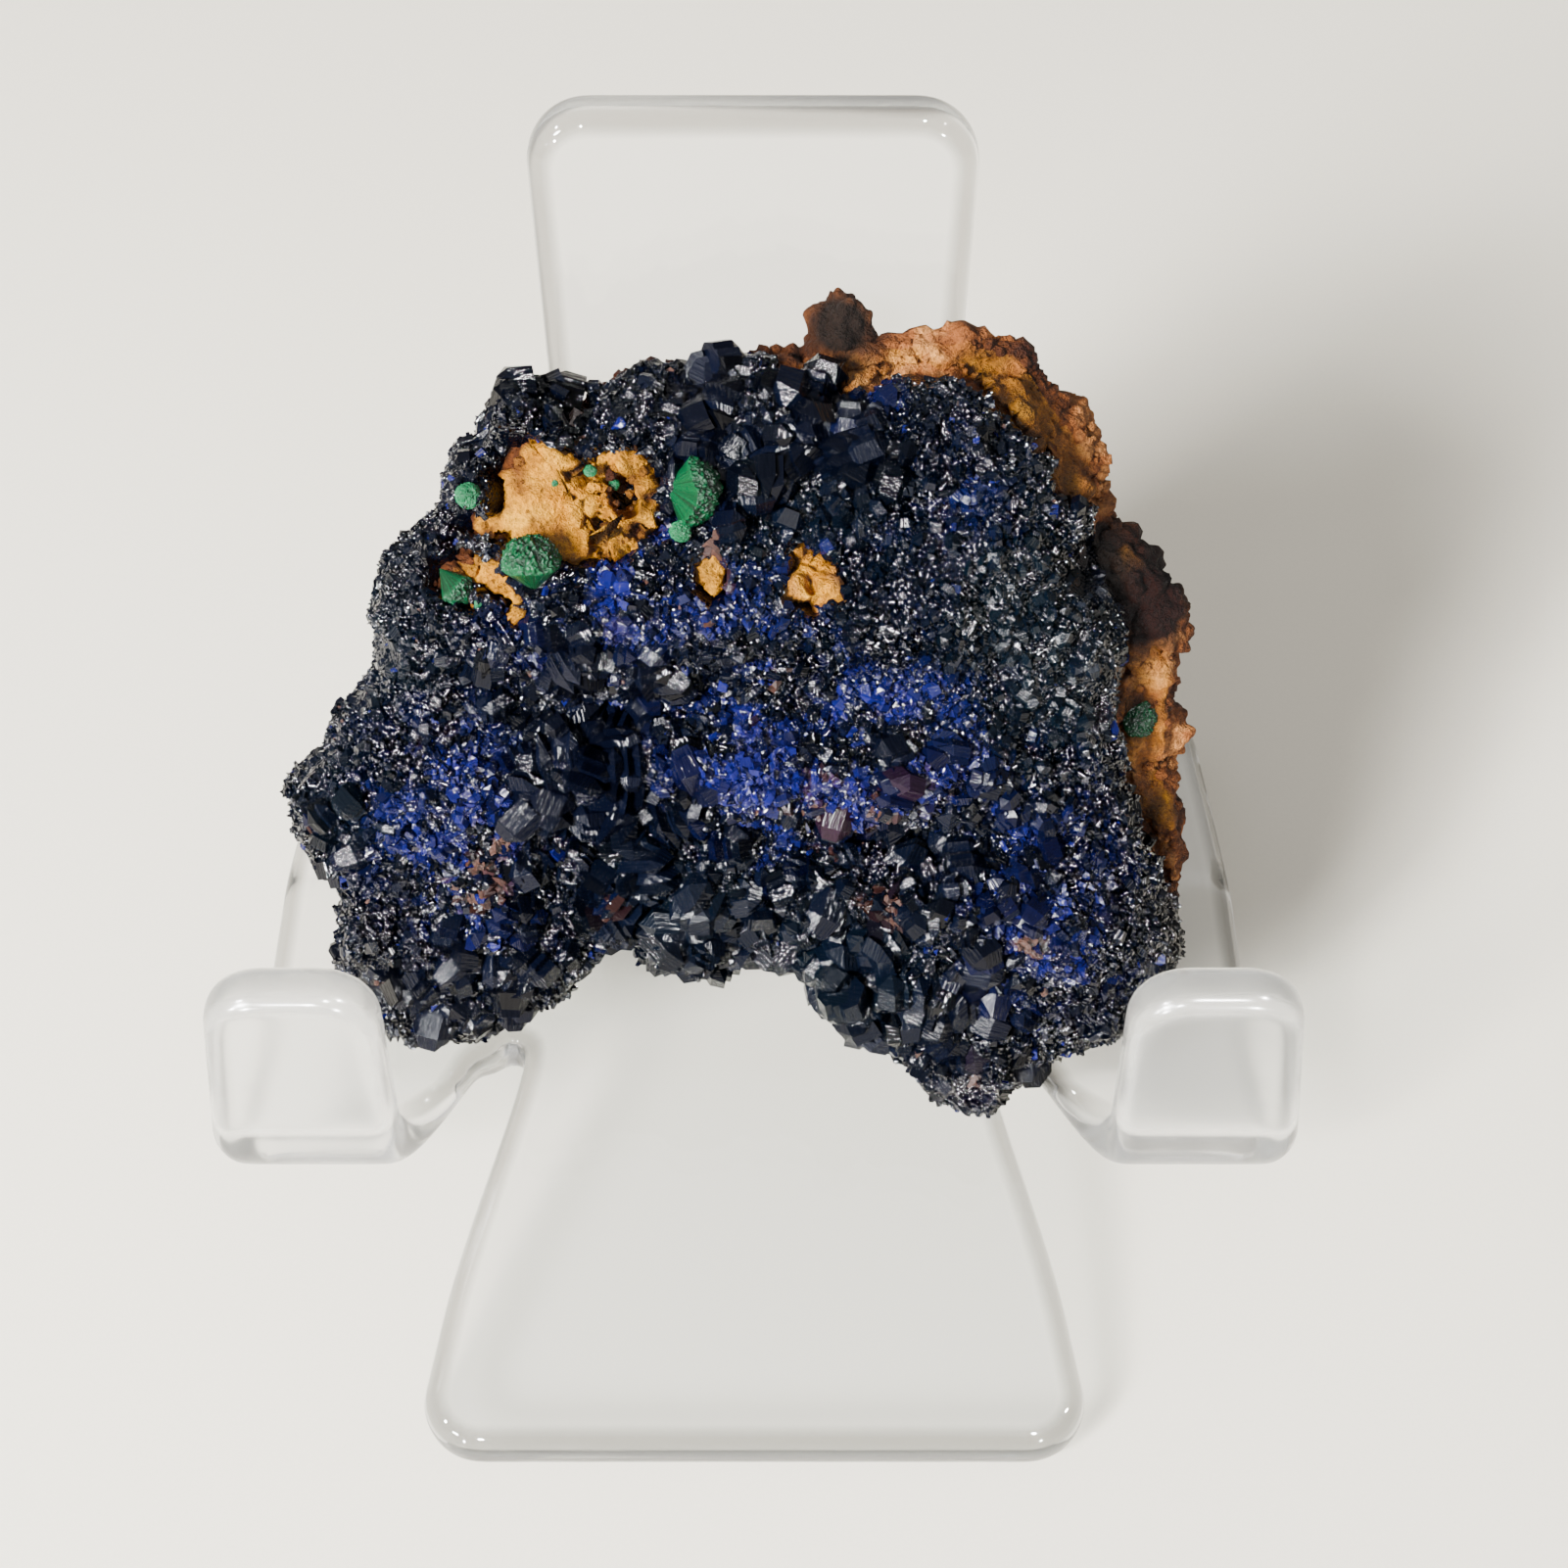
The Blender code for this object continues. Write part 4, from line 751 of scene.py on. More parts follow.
def large_sites(rng, count):
    """The frame's own crystals in the coarse places, a little smaller, and more beside them."""
    root, axes, length, width, growth = solid_crystals()
    u, w = root[:, 0], root[:, 1]
    shown = (growth_at(u, w) >= COARSE) & (patches(u, w)[0] < 0.1) & ~under_malachite(u, w)
    more_root, more_axes, more_growth = grown(rng, count, most_growth=9.0, lean=0.4, least_growth=COARSE)
    more_width = rng.uniform(0.95, 1.8, len(more_root)) * (1 + 0.35 * more_growth)
    more_length = more_width * rng.uniform(0.95, 1.25, len(more_root))
    return (
        np.concatenate([root[shown], rooted(more_root, more_axes, more_length)]),
        [np.concatenate([axis[shown], more]) for axis, more in zip(axes, more_axes)],
        np.concatenate([length[shown] * OWN_SCALE, more_length]),
        np.concatenate([width[shown] * OWN_SCALE, more_width]),
        np.concatenate([growth[shown], more_growth]),
    )


def large_crystals(rng, count):
    """Each crystal as plates side by side across it, each a little shifted, tilted outwards and shortened."""
    root, axes, length, width, growth = large_sites(rng, count)
    total = len(root) * PLATES
    step = np.tile(np.arange(PLATES) - (PLATES - 1) / 2, len(root)) + rng.uniform(-0.2, 0.2, total)
    root, length, width, growth = (np.repeat(a, PLATES, axis=0) for a in (root, length, width, growth))
    x, y, z = (np.repeat(axis, PLATES, axis=0) for axis in axes)
    root = root + y * (step * width * 0.24)[:, None] + x * (rng.normal(0, 0.06, total) * width)[:, None]
    aim = z + y * (step * 0.04)[:, None] + x * rng.normal(0, 0.03, (total, 1))
    aim /= np.linalg.norm(aim, axis=1, keepdims=True)
    across = x - aim * (x * aim).sum(axis=1, keepdims=True)
    across /= np.linalg.norm(across, axis=1, keepdims=True)
    length = length * rng.uniform(0.86, 1.0, total)
    cu, cw, reach = BLADED
    bladed = np.hypot(root[:, 0] - cu, root[:, 1] - cw) < reach
    thickness = width * rng.uniform(0.3, 0.42, total) * np.where(bladed, 1.0, 1.7)
    local = blade_points(length, width, thickness, rng.uniform(0.2, 0.45, total))
    points, faces, uv = field(local, BLADE_FACES, root, (across, np.cross(aim, across), aim))
    values = crystal_values(rng, root, local.shape[1], growth + 0.6)
    values["blue"] = np.minimum(values["blue"], 0.12)
    values["rust"] *= 0.4
    return points, faces, values, uv


# ---- Rock ----
def pit_shares(u, w):
    """How deep each point lies in each pit: exp(-(distance / radius)^4)."""
    return [np.exp(-((np.hypot(u - pu, w - pw) / radius) ** 4)) for pu, pw, radius, _ in ROCK_PITS]


def pitted(points, normals):
    """Points sunk along their normals into the pits."""
    sunk = sum(share * pit[3] for share, pit in zip(pit_shares(points[:, 0], points[:, 1]), ROCK_PITS))
    return points - normals * sunk[:, None]


def crumbly(points, normals, height, seed):
    """Points moved along their normals: round crumbs of two sizes with creases between, and fine grain."""
    large = 0.55 - crumb_noise(points, 1.9, seed)
    small = 0.55 - crumb_noise(points, 0.8, seed + 1)
    fine = rough_noise(points, 0.5, 3, seed + 2)
    return points + normals * (height * (0.9 * large + 0.4 * small + 0.12 * fine))[:, None]


def rock_values(points, bare):
    """Tan over the bare patches, red on the lumps at the right, brown on the spike, behind and as painted
    shade in the gap beside the lumps, and stain; painted shade darkens the pits.
    """
    u, w, n = points.T
    cloud = rough_noise(points, 3.0, 3, SEED + 500)
    mottle = rough_noise(points, 1.5, 4, SEED + 510)
    rim = np.clip((np.hypot(u, w) - 17.5) / 1.5, 0, 1) * (u > 0)
    # Painted shade: inside the pits the tan is taken away and the stain weakened, so they come out dark.
    outside_painted_pit_shade = 1 - np.clip(sum(pit_shares(u, w)), 0, 1) * (n > 0)
    return {
        "tan": np.clip(bare * (0.85 + 0.9 * mottle) * (1 - 0.7 * rim), 0, 1) * outside_painted_pit_shade,
        "red": np.clip(1.5 * ovals(u, w, RED_ROCK) + 0.3 * cloud - 0.1 * bare, 0, 1),
        "brown": np.clip(1.4 * ovals(u, w, BROWN_ROCK_AND_PAINTED_GAP_SHADE) + 0.6 * np.clip(-n - 4, 0, 1), 0, 1),
        "stain": np.clip(0.75 + cloud, 0, 1) * (0.2 + 0.8 * outside_painted_pit_shade) * np.interp(u, (1.0, 4.0), (0.5, 1.0)),
    }


def rock_surface(settings):
    """The rock as one closed surface of rows round its middle, with crumbs and pits."""
    q_rows = np.concatenate([
        np.linspace(0.03, 0.4, 10, endpoint=False), np.linspace(0.4, 1.0, 84, endpoint=False),
        np.linspace(1.0, 2.0, 40, endpoint=False), np.linspace(2.0, 2.97, 34),
    ])
    theta, q = polar_grid(settings.columns, q_rows)
    points, normals = normals_of(rock_plain, theta, q)
    u, w = points[:, 0], points[:, 1]
    bare = np.where(q <= 1, patches(u, w)[0], 0.0)
    sandy = bare * in_polygon(u, w, PATCHES[0][1], 2.0)
    height = settings.crumb_height / MM * (1 - 0.75 * sandy)
    points = crumbly(points, normals, height, SEED + 520)
    front = q <= 1
    points[front] = pitted(points[front], normals[front])
    return levelled(points), polar_faces(settings.columns, len(q_rows)), rock_values(points, bare)


def ring_of_five(first, height):
    """Five corners round a ball of radius 1 at a height, the first at an angle in degrees."""
    a, reach = np.radians(first + 72 * np.arange(5)), 0.894
    return np.stack([reach * np.cos(a), reach * np.sin(a), np.full(5, height)], axis=-1)


# A grain is a ball of twenty faces: two poles and two rings of five corners.
GRAIN_POINTS = np.concatenate([[(0, 0, 1)], ring_of_five(0, 0.447), ring_of_five(36, -0.447), [(0, 0, -1)]])
GRAIN_FACES = (
    *[(0, 1 + k, 1 + (k + 1) % 5) for k in range(5)],
    *[(1 + k, 6 + k, 1 + (k + 1) % 5) for k in range(5)],
    *[(1 + (k + 1) % 5, 6 + k, 6 + (k + 1) % 5) for k in range(5)],
    *[(11, 6 + (k + 1) % 5, 6 + k) for k in range(5)],
)


def rock_grains(rng, count):
    """Loose-looking grains half sunk in the rock, of twenty faces each, thickest along the rims."""
    theta = rng.uniform(-np.pi, np.pi, TRIES * count)
    q = rng.uniform(0.55, 2.9, TRIES * count)
    points, _ = normals_of(rock_plain, theta, q)
    u, w = points[:, 0], points[:, 1]
    sandy = in_polygon(u, w, PATCHES[0][1], 1.0)
    shown = np.where(q <= 1, patches(u, w)[0] * (1 - 0.9 * sandy), (rock_own_radius(theta) > 0) + 0.35)
    picked = np.flatnonzero(rng.uniform(size=len(u)) < shown)[:count]
    size = 0.12 + 0.30 * rng.uniform(size=len(picked)) ** 2.5
    axes = frames_along(rng.normal(size=(len(picked), 3)), rng.uniform(0, np.pi, len(picked)))
    corners = len(GRAIN_POINTS)
    uneven = GRAIN_POINTS * rng.uniform(0.75, 1.25, (len(picked), corners, 1)) * size[:, None, None]
    grains, faces, _ = field(uneven, GRAIN_FACES, points[picked], axes)
    values = rock_values(points[picked], np.where(q[picked] <= 1, 0.6, 0.0))
    return levelled(grains), faces, {label: np.repeat(value, corners) for label, value in values.items()}


def lump_surface(u, w, n, radius, stretch, point, seed):
    """A ball of rows from its top to its foot: stretched along w, drawn to a point there, and crumbly."""
    b, a = polar_grid(LUMP_COLUMNS, np.linspace(0.02, 0.98, LUMP_ROWS) * np.pi)
    a[-1] = np.pi
    thin = np.sin(a) * (1 - point * np.maximum(np.cos(a), 0.0))
    ball = np.stack([thin * np.cos(b), np.cos(a), -thin * np.sin(b)], axis=-1)
    points = roughen(ball * radius * (1, stretch, 1) + (u, w, n), seed, ((1.6, 0.42),))
    coarse, small = crumb_noise(points, 1.5, seed + 6), crumb_noise(points, 0.62, seed + 7)
    points = points + ball * (0.9 * (0.45 - coarse) + 0.42 * (0.5 - small))[:, None]
    return crumbly(points, ball, 0.8, seed), polar_faces(LUMP_COLUMNS, LUMP_ROWS)


def rock_lumps():
    """All the lumps as one body."""
    points, faces = merged([lump_surface(*lump, SEED + 400 + k) for k, lump in enumerate(ROCK_LUMPS)])
    return points, faces, rock_values(points, np.zeros(len(points)))


# ---- Malachite ----
def fan_surface(u, w, lift, turn, tilt, length, wide, high):
    """A fan of fibres: a cone that opens from its foot to a rounded, brush-like end.

    A row t up to FAN_END lies on the end, at an angle from the middle fibre that grows to the half-angle.
    From there to 1 it runs back down the fibres to the foot. The ridges follow the fibres.
    """
    columns, rows = FAN_GRID if length > SPECK_LENGTH else SPECK_GRID
    theta, t = polar_grid(columns, np.linspace(0.012, 0.985, rows))
    t[-1] = 1.0
    half = np.radians(wide) * np.cos(theta) ** 2 + np.radians(high) * np.sin(theta) ** 2
    angle = half * np.clip(t / FAN_END, 0, 1) ** 0.8
    side, up = np.sin(angle) * np.cos(theta), np.sin(angle) * np.sin(theta)
    heading = np.stack([side, up, np.cos(angle)], axis=-1)
    seed = SEED + int(10 * length + turn)
    fibre = rough_noise(heading * 20, 1.0, 2, seed)
    coarse = rough_noise(heading * 3.4, 1.0, 2, seed + 5)
    along = np.where(t <= FAN_END, 1.0, 1 - (t - FAN_END) / (1 - FAN_END))
    along = np.where(along < 1, 1 - (1 - along) ** 1.7, 1.0)
    rounding = 1 - 0.24 * (angle / half.max()) ** 2
    reach = length * along * rounding * (1 + (0.05 * fibre + 0.06 * coarse) * np.clip(along * 1.5, 0, 1))
    local = heading * reach[:, None]
    a, b = math.radians(turn), math.radians(tilt)
    forward = np.array((math.cos(b) * math.cos(a), math.cos(b) * math.sin(a), math.sin(b)))
    across = np.array((-math.sin(a), math.cos(a), 0.0))
    upward = np.cross(forward, across)
    base = np.array((u, w, face_height(np.array([u]), np.array([w]))[0] + lift))
    points = base + local @ np.stack([across, upward, forward])
    paler = 0.35 if length < 1.5 else 0.0
    tip = along * (0.6 + 0.4 * (angle / half.max())) + paler
    return points, polar_faces(columns, rows), {"fibre": np.clip(0.5 + 1.2 * fibre, 0, 1), "tip": tip}


# ---- Easel ----
def droop(length, radius):
    """The angle at which a strip of this length leaves the bridge to end on its rounded edge at the table."""
    drop = BRIDGE_Z - (SHEET / 2 - SOLE)
    angle = 0.1
    for _ in range(30):
        angle = math.asin(drop / (length - SHEET / 2 - radius * angle / 2))
    return math.degrees(angle)


def bent_rows(start, heading, bends):
    """Rows of a strip's middle line: distance done, y, z, angle, length and turn of each straight or arc."""
    y, z, angle, done, rows = start, BRIDGE_Z, 0.0, 0.0, []
    for length, degrees in bends:
        turn = math.radians(degrees)
        rows.append((done, y, z, angle, length, turn))
        chord_y, chord_z = bent(rows[-1:], heading, np.array([done + length]), np.zeros(1))
        y, z, angle, done = float(chord_y[0]), float(chord_z[0]), angle + turn, done + length
    return rows


def bent(rows, heading, distance, lift):
    """y and z at distances along a strip, straight on or round an arc, lifted off its middle line."""
    table = np.array(rows)
    row = table[np.clip(np.searchsorted(table[:, 0], distance + 1e-9, side="right") - 1, 0, None)]
    done, y, z, angle, length, turn = row.T
    inside = distance - done
    bending = np.abs(turn) > 1e-9
    radius = np.where(bending, length / np.where(bending, turn, 1.0), 1.0)
    end = angle + np.where(bending, inside / radius, 0.0)
    along_y = np.where(bending, radius * (np.sin(end) - np.sin(angle)), inside * np.cos(angle))
    along_z = np.where(bending, radius * (np.cos(angle) - np.cos(end)), inside * np.sin(angle))
    return y + heading * (along_y - lift * np.sin(end)), z + along_z + lift * np.cos(end)


def arc(radius, degrees):
    """Length of an arc."""
    return radius * math.radians(abs(degrees))


def strip_table():
    """The heading and the bent rows of each strip, and its flat length."""
    foot, leg = -droop(FOOT_LENGTH, GENTLE_RADIUS), -droop(LEG_LENGTH, GENTLE_RADIUS)
    rest, hook = 90.0 - REST_LEAN, 90.0 + HOOK_DIP
    bends = {
        "foot": (-1, ((arc(GENTLE_RADIUS, foot), foot), (FOOT_LENGTH - arc(GENTLE_RADIUS, foot), 0))),
        "arm": (-1, (
            (arc(HOOK_RADIUS, HOOK_DIP), -HOOK_DIP), (arc(HOOK_RADIUS, hook), hook), (HOOK_LIMB, 0),
        )),
        "leg": (1, ((arc(GENTLE_RADIUS, leg), leg), (LEG_LENGTH - arc(GENTLE_RADIUS, leg), 0))),
        "rest": (1, ((arc(REST_RADIUS, rest), rest), (REST_LIMB, 0))),
    }
    strips = {}
    for name, (heading, rows) in bends.items():
        start = BRIDGE_REAR if heading > 0 else BRIDGE_FRONT
        strips[name] = (heading, bent_rows(start, heading, rows), sum(length for length, _ in rows))
    return strips


def foot_half_width(share):
    """Half-width of the foot from the bridge (0) to its front (1): a bell that flares, then runs straight."""
    return FOOT_ROOT_HALF + (FOOT_HALF - FOOT_ROOT_HALF) * np.sin(share * np.pi / 2) ** 1.3


def corner_arc(x, s, radius, start, end):
    """Points on an arc from start to end, in degrees."""
    a = np.radians(np.linspace(start, end, CURVE_POINTS))
    return np.stack([x + radius * np.cos(a), s + radius * np.sin(a)], axis=-1)


def flat_outline(strips):
    """Outline of the flat sheet before bending, as (x, s), anticlockwise, in even steps.

    s is 0 at the bridge's front. The right half runs from the foot's edge to the back-rest's top, and the
    left half mirrors it.
    """
    front, bridge = -strips["foot"][2], BRIDGE_REAR - BRIDGE_FRONT
    tip, leg_end, top = -strips["arm"][2], bridge + strips["leg"][2], bridge + strips["rest"][2]
    flare = np.linspace(0.66, 0.05, CURVE_POINTS)
    hook = tip + HOOK_LIMB
    root = FOOT_ROOT_HALF + 2 * NOTCH_RADIUS
    inner = np.linspace(0.12, 1.0, CURVE_POINTS)
    notch = (LEG_INNER - REST_ROOT_HALF) / 2
    half = np.concatenate([
        corner_arc(FOOT_HALF - CORNER, front + CORNER, CORNER, -90, 0),
        np.stack([foot_half_width(flare), flare * front], axis=-1),
        corner_arc(FOOT_ROOT_HALF + NOTCH_RADIUS, -NOTCH_RADIUS, NOTCH_RADIUS, 180, 0),
        np.stack([root + (ARM_INNER - root) * np.sin(inner * np.pi / 2), inner * hook], axis=-1),
        corner_arc(ARM_INNER + CORNER, tip + CORNER, CORNER, 180, 270),
        corner_arc(ARM_TIP_OUTER - CORNER, tip + CORNER, CORNER, -90, 0),
        [(ARM_OUTER, hook), (LEG_OUTER + 0.5, 0.35 * hook), (LEG_OUTER, 1.0)],
        corner_arc(LEG_OUTER - CORNER, leg_end - CORNER, CORNER, 0, 90),
        corner_arc(LEG_INNER + CORNER, leg_end - CORNER, CORNER, 90, 180),
        corner_arc(REST_ROOT_HALF + notch, bridge + 0.3, notch, 0, -180),
        corner_arc(REST_TOP_HALF - CORNER, top - CORNER, CORNER, 0, 90),
    ])
    loop = np.concatenate([half, half[::-1] * (-1, 1), half[:1]])
    steps = np.linalg.norm(np.diff(loop, axis=0), axis=1)
    done = np.concatenate([[0.0], np.cumsum(steps)])
    at = np.linspace(0, done[-1], int(done[-1] / OUTLINE_STEP), endpoint=False)
    return evened(np.stack([np.interp(at, done, loop[:, k]) for k in range(2)], axis=-1), 1)


def evened(loop, reach):
    """Each point of a loop as the mean of those up to reach before and after it."""
    return sum(np.roll(loop, k, axis=0) for k in range(-reach, reach + 1)) / (2 * reach + 1)


def inset(loop, distance):
    """The outline moved inwards, along normals evened out so that no corner crosses itself."""
    along = np.roll(loop, -1, axis=0) - np.roll(loop, 1, axis=0)
    normals = evened(np.stack([-along[:, 1], along[:, 0]], axis=1), 4)
    return loop + distance * normals / np.linalg.norm(normals, axis=1)[:, None]


def points_inside(loop, spacing, margin):
    """Points of a triangular grid inside a loop, at least a margin from its corners."""
    low, high = loop.min(axis=0), loop.max(axis=0)
    x, s = np.meshgrid(np.arange(low[0], high[0], spacing), np.arange(low[1], high[1], spacing * 0.866))
    x[1::2] += spacing / 2
    grid = np.stack([x.ravel(), s.ravel()], axis=-1)
    a, b = loop, np.roll(loop, -1, axis=0)
    spans = (a[:, 1] > grid[:, 1:]) != (b[:, 1] > grid[:, 1:])
    rise = np.where(a[:, 1] == b[:, 1], 1.0, b[:, 1] - a[:, 1])
    crossing = a[:, 0] + (grid[:, 1:] - a[:, 1]) * (b[:, 0] - a[:, 0]) / rise
    inside = (spans & (grid[:, :1] < crossing)).sum(axis=1) % 2 == 1
    clear = np.array([((loop - p) ** 2).sum(axis=1).min() > margin**2 for p in grid])
    return grid[inside & clear]


def bend_flat(flat, strips):
    """Each (x, s, lift) of the flat sheet at its place on the bent strips, ground flat at the table."""
    x, s, lift = flat.T
    bridge = BRIDGE_REAR - BRIDGE_FRONT
    foot_share = np.clip(-s / strips["foot"][2], 0, 1)
    in_foot = np.abs(x) < foot_half_width(foot_share) + NOTCH_RADIUS
    in_rest = np.abs(x) < (LEG_INNER + REST_ROOT_HALF) / 2
    y, z = BRIDGE_FRONT + s, BRIDGE_Z + lift
    ahead, behind = s < 0, s > bridge
    shares = {
        "foot": ahead & in_foot, "arm": ahead & ~in_foot, "rest": behind & in_rest, "leg": behind & ~in_rest,
    }
    for name, chosen in shares.items():
        heading, rows, _ = strips[name]
        distance = np.where(s[chosen] < 0, -s[chosen], s[chosen] - bridge)
        y[chosen], z[chosen] = bent(rows, heading, distance, lift[chosen])
    return np.stack([x, y + ORIGIN_SHIFT, np.maximum(z, 0.0)], axis=-1)


def easel_surface(settings):
    """The whole easel from one flat sheet: rings round the rounded edge, two filled faces, then the bends."""
    strips = strip_table()
    outline = flat_outline(strips)
    count, rings = len(outline), []
    slopes = np.linspace(-90, 90, EDGE_TURNS)
    for slope in np.radians(slopes):
        loop = inset(outline, EDGE_DEPTH * (1 - max(math.cos(slope), 0.0) ** EDGE_SQUARENESS))
        lift = math.copysign(SHEET / 2 * abs(math.sin(slope)) ** EDGE_SQUARENESS, slope)
        rings.append(np.column_stack([loop, np.full(count, lift)]))
    inner = rings[0][:, :2]
    filled = points_inside(inner, settings.grid_step / MM, FILL_MARGIN)
    flat_points = [Vector(p) for p in np.concatenate([inner, filled])]
    edges = [(k, (k + 1) % count) for k in range(count)]
    _, _, triangles, sources, _, _ = delaunay_2d_cdt(flat_points, edges, [], 1, 1e-6)
    source = np.array([min(found) for found in sources])
    triangles = source[np.array(triangles)]
    ring_total = count * EDGE_TURNS
    lift = np.full(len(filled), SHEET / 2)
    points = np.concatenate([*rings, np.column_stack([filled, -lift]), np.column_stack([filled, lift])])
    on_edge, within = triangles < count, triangles - count + ring_total
    bottom = np.where(on_edge, triangles, within)
    top = np.where(on_edge, triangles + ring_total - count, within + len(filled))
    k = np.arange(count)
    low = np.arange(EDGE_TURNS - 1)[:, None] * count
    after = (k + 1) % count
    sides = np.stack([low + k, low + after, low + count + after, low + count + k], axis=-1).reshape(-1, 4)
    counts = np.concatenate([np.full(2 * len(triangles), 3), np.full(len(sides), 4)])
    corners = np.concatenate([bottom[:, ::-1].ravel(), top.ravel(), sides.ravel()])
    edge = np.zeros(len(points))
    # Painted shade: each ring of the rounded edge gets how dark its colour is painted.
    edge[:ring_total] = np.repeat(np.interp(slopes, EDGE_SLOPES, EDGE_PAINTED_SHADES), count)
    frost = np.clip((np.abs(points[:, 0]) - FOOT_HALF) / 2, 0, 1) * np.clip(-points[:, 1] / 6, 0, 1)
    # The painted edge shade is weaker on the frosted hooks.
    values = {"edge": edge * (1 - 0.55 * frost), "frost": frost}
    return bend_flat(points, strips), (counts, corners), values


# ---- Materials ----
def feed(tree, node, sockets):
    """Each of a node's inputs linked to an output or set to a value."""
    for label, value in sockets.items():
        if isinstance(value, bpy.types.NodeSocket):
            tree.links.new(value, node.inputs[label])
        else:
            node.inputs[label].default_value = value


def add(tree, kind, sockets=None, **settings):
    """A node with its settings made and its inputs fed."""
    node = tree.nodes.new(kind)
    for key, value in settings.items():
        setattr(node, key, value)
    feed(tree, node, sockets or {})
    return node


def mixed(tree, factor, a, b, blend="MIX"):
    """Two colours mixed."""
    return add(tree, "ShaderNodeMix", {0: factor, 6: a, 7: b}, data_type="RGBA", blend_type=blend).outputs[2]


def computed(tree, operation, a, b):
    """One step of arithmetic."""
    return add(tree, "ShaderNodeMath", {0: a, 1: b}, operation=operation).outputs[0]


def remapped(tree, value, low, high, to_low=0.0, to_high=1.0):
    """A value remapped between two ranges and clamped."""
    ends = {"From Min": low, "From Max": high, "To Min": to_low, "To Max": to_high}
    return add(tree, "ShaderNodeMapRange", {"Value": value, **ends}).outputs["Result"]


def bumped(tree, height, strength, distance):
    """A normal bumped by a height; the distance is in metres."""
    sockets = {"Height": height, "Strength": strength, "Distance": distance}
    return add(tree, "ShaderNodeBump", sockets).outputs[0]


def value_of(tree, name):
    """A mesh attribute's value."""
    return add(tree, "ShaderNodeAttribute", attribute_name=name).outputs["Fac"]


def node_group(name, inputs, outputs):
    """A shader node group with its sockets, and its input and output nodes."""
    tree = bpy.data.node_groups.new(name, "ShaderNodeTree")
    for label, default in inputs.items():
        socket = tree.interface.new_socket(label, in_out="INPUT", socket_type="NodeSocketFloat")
        socket.default_value = default
    for label, kind in outputs.items():
        tree.interface.new_socket(label, in_out="OUTPUT", socket_type=kind)
    return tree, tree.nodes.new("NodeGroupInput"), tree.nodes.new("NodeGroupOutput")


def mineral_grain():
    """Group: cloudy and fine grain at the object's own scale. Scale is grains to the metre."""
    kinds = dict.fromkeys(("Cloud", "Grain", "Cells"), "NodeSocketFloat")
    tree, given, out = node_group("Mineral Grain", {"Scale": 600.0}, kinds)
    where = {"Vector": add(tree, "ShaderNodeTexCoord").outputs["Object"]}
    scale = given.outputs[0]
    finer = computed(tree, "MULTIPLY", scale, 5.0)
    cloud = add(tree, "ShaderNodeTexNoise", {**where, "Scale": scale, "Detail": 4.0, "Roughness": 0.6})
    grain = add(tree, "ShaderNodeTexNoise", {**where, "Scale": finer, "Detail": 3.0, "Roughness": 0.7})
    cells = add(tree, "ShaderNodeTexVoronoi", {**where, "Scale": finer})
    found = {"Cloud": cloud.outputs[0], "Grain": grain.outputs[0], "Cells": cells.outputs["Distance"]}
    feed(tree, out, found)
    return tree


def iron_stain():
    """Group: dark brown to orange to pale ochre, from a shade value times a cloud value."""
    tree, given, out = node_group("Iron Stain", {"Shade": 0.5, "Cloud": 0.5}, {"Color": "NodeSocketColor"})
    total = computed(tree, "MULTIPLY", given.outputs["Shade"], given.outputs["Cloud"])
    ramp = add(tree, "ShaderNodeValToRGB", {"Fac": remapped(tree, total, 0.0, 0.6)})
    stops = ramp.color_ramp.elements
    stops[0].color, stops[1].color = (0.024, 0.0062, 0.0025, 1), (0.44, 0.185, 0.055, 1)
    for position, colour in ((0.35, (0.070, 0.020, 0.005, 1)), (0.65, (0.23, 0.072, 0.018, 1))):
        stops.new(position).color = colour
    feed(tree, out, {"Color": ramp.outputs["Color"]})
    return tree


GROUPS = {"Mineral Grain": mineral_grain, "Iron Stain": iron_stain}


def from_group(tree, name, sockets):
    """The outputs of a node of the named group, which is made the first time that it is asked for."""
    group = bpy.data.node_groups.get(name) or GROUPS[name]()
    return add(tree, "ShaderNodeGroup", sockets, node_tree=group).outputs


def new_material(name):
    """A material with one Principled shader; returns it, its tree and the shader."""
    made = bpy.data.materials.new(name)
    made.use_nodes = True
    return made, made.node_tree, made.node_tree.nodes["Principled BSDF"]


def rgba(colour):
    """A colour with full alpha."""
    return (*colour, 1.0)


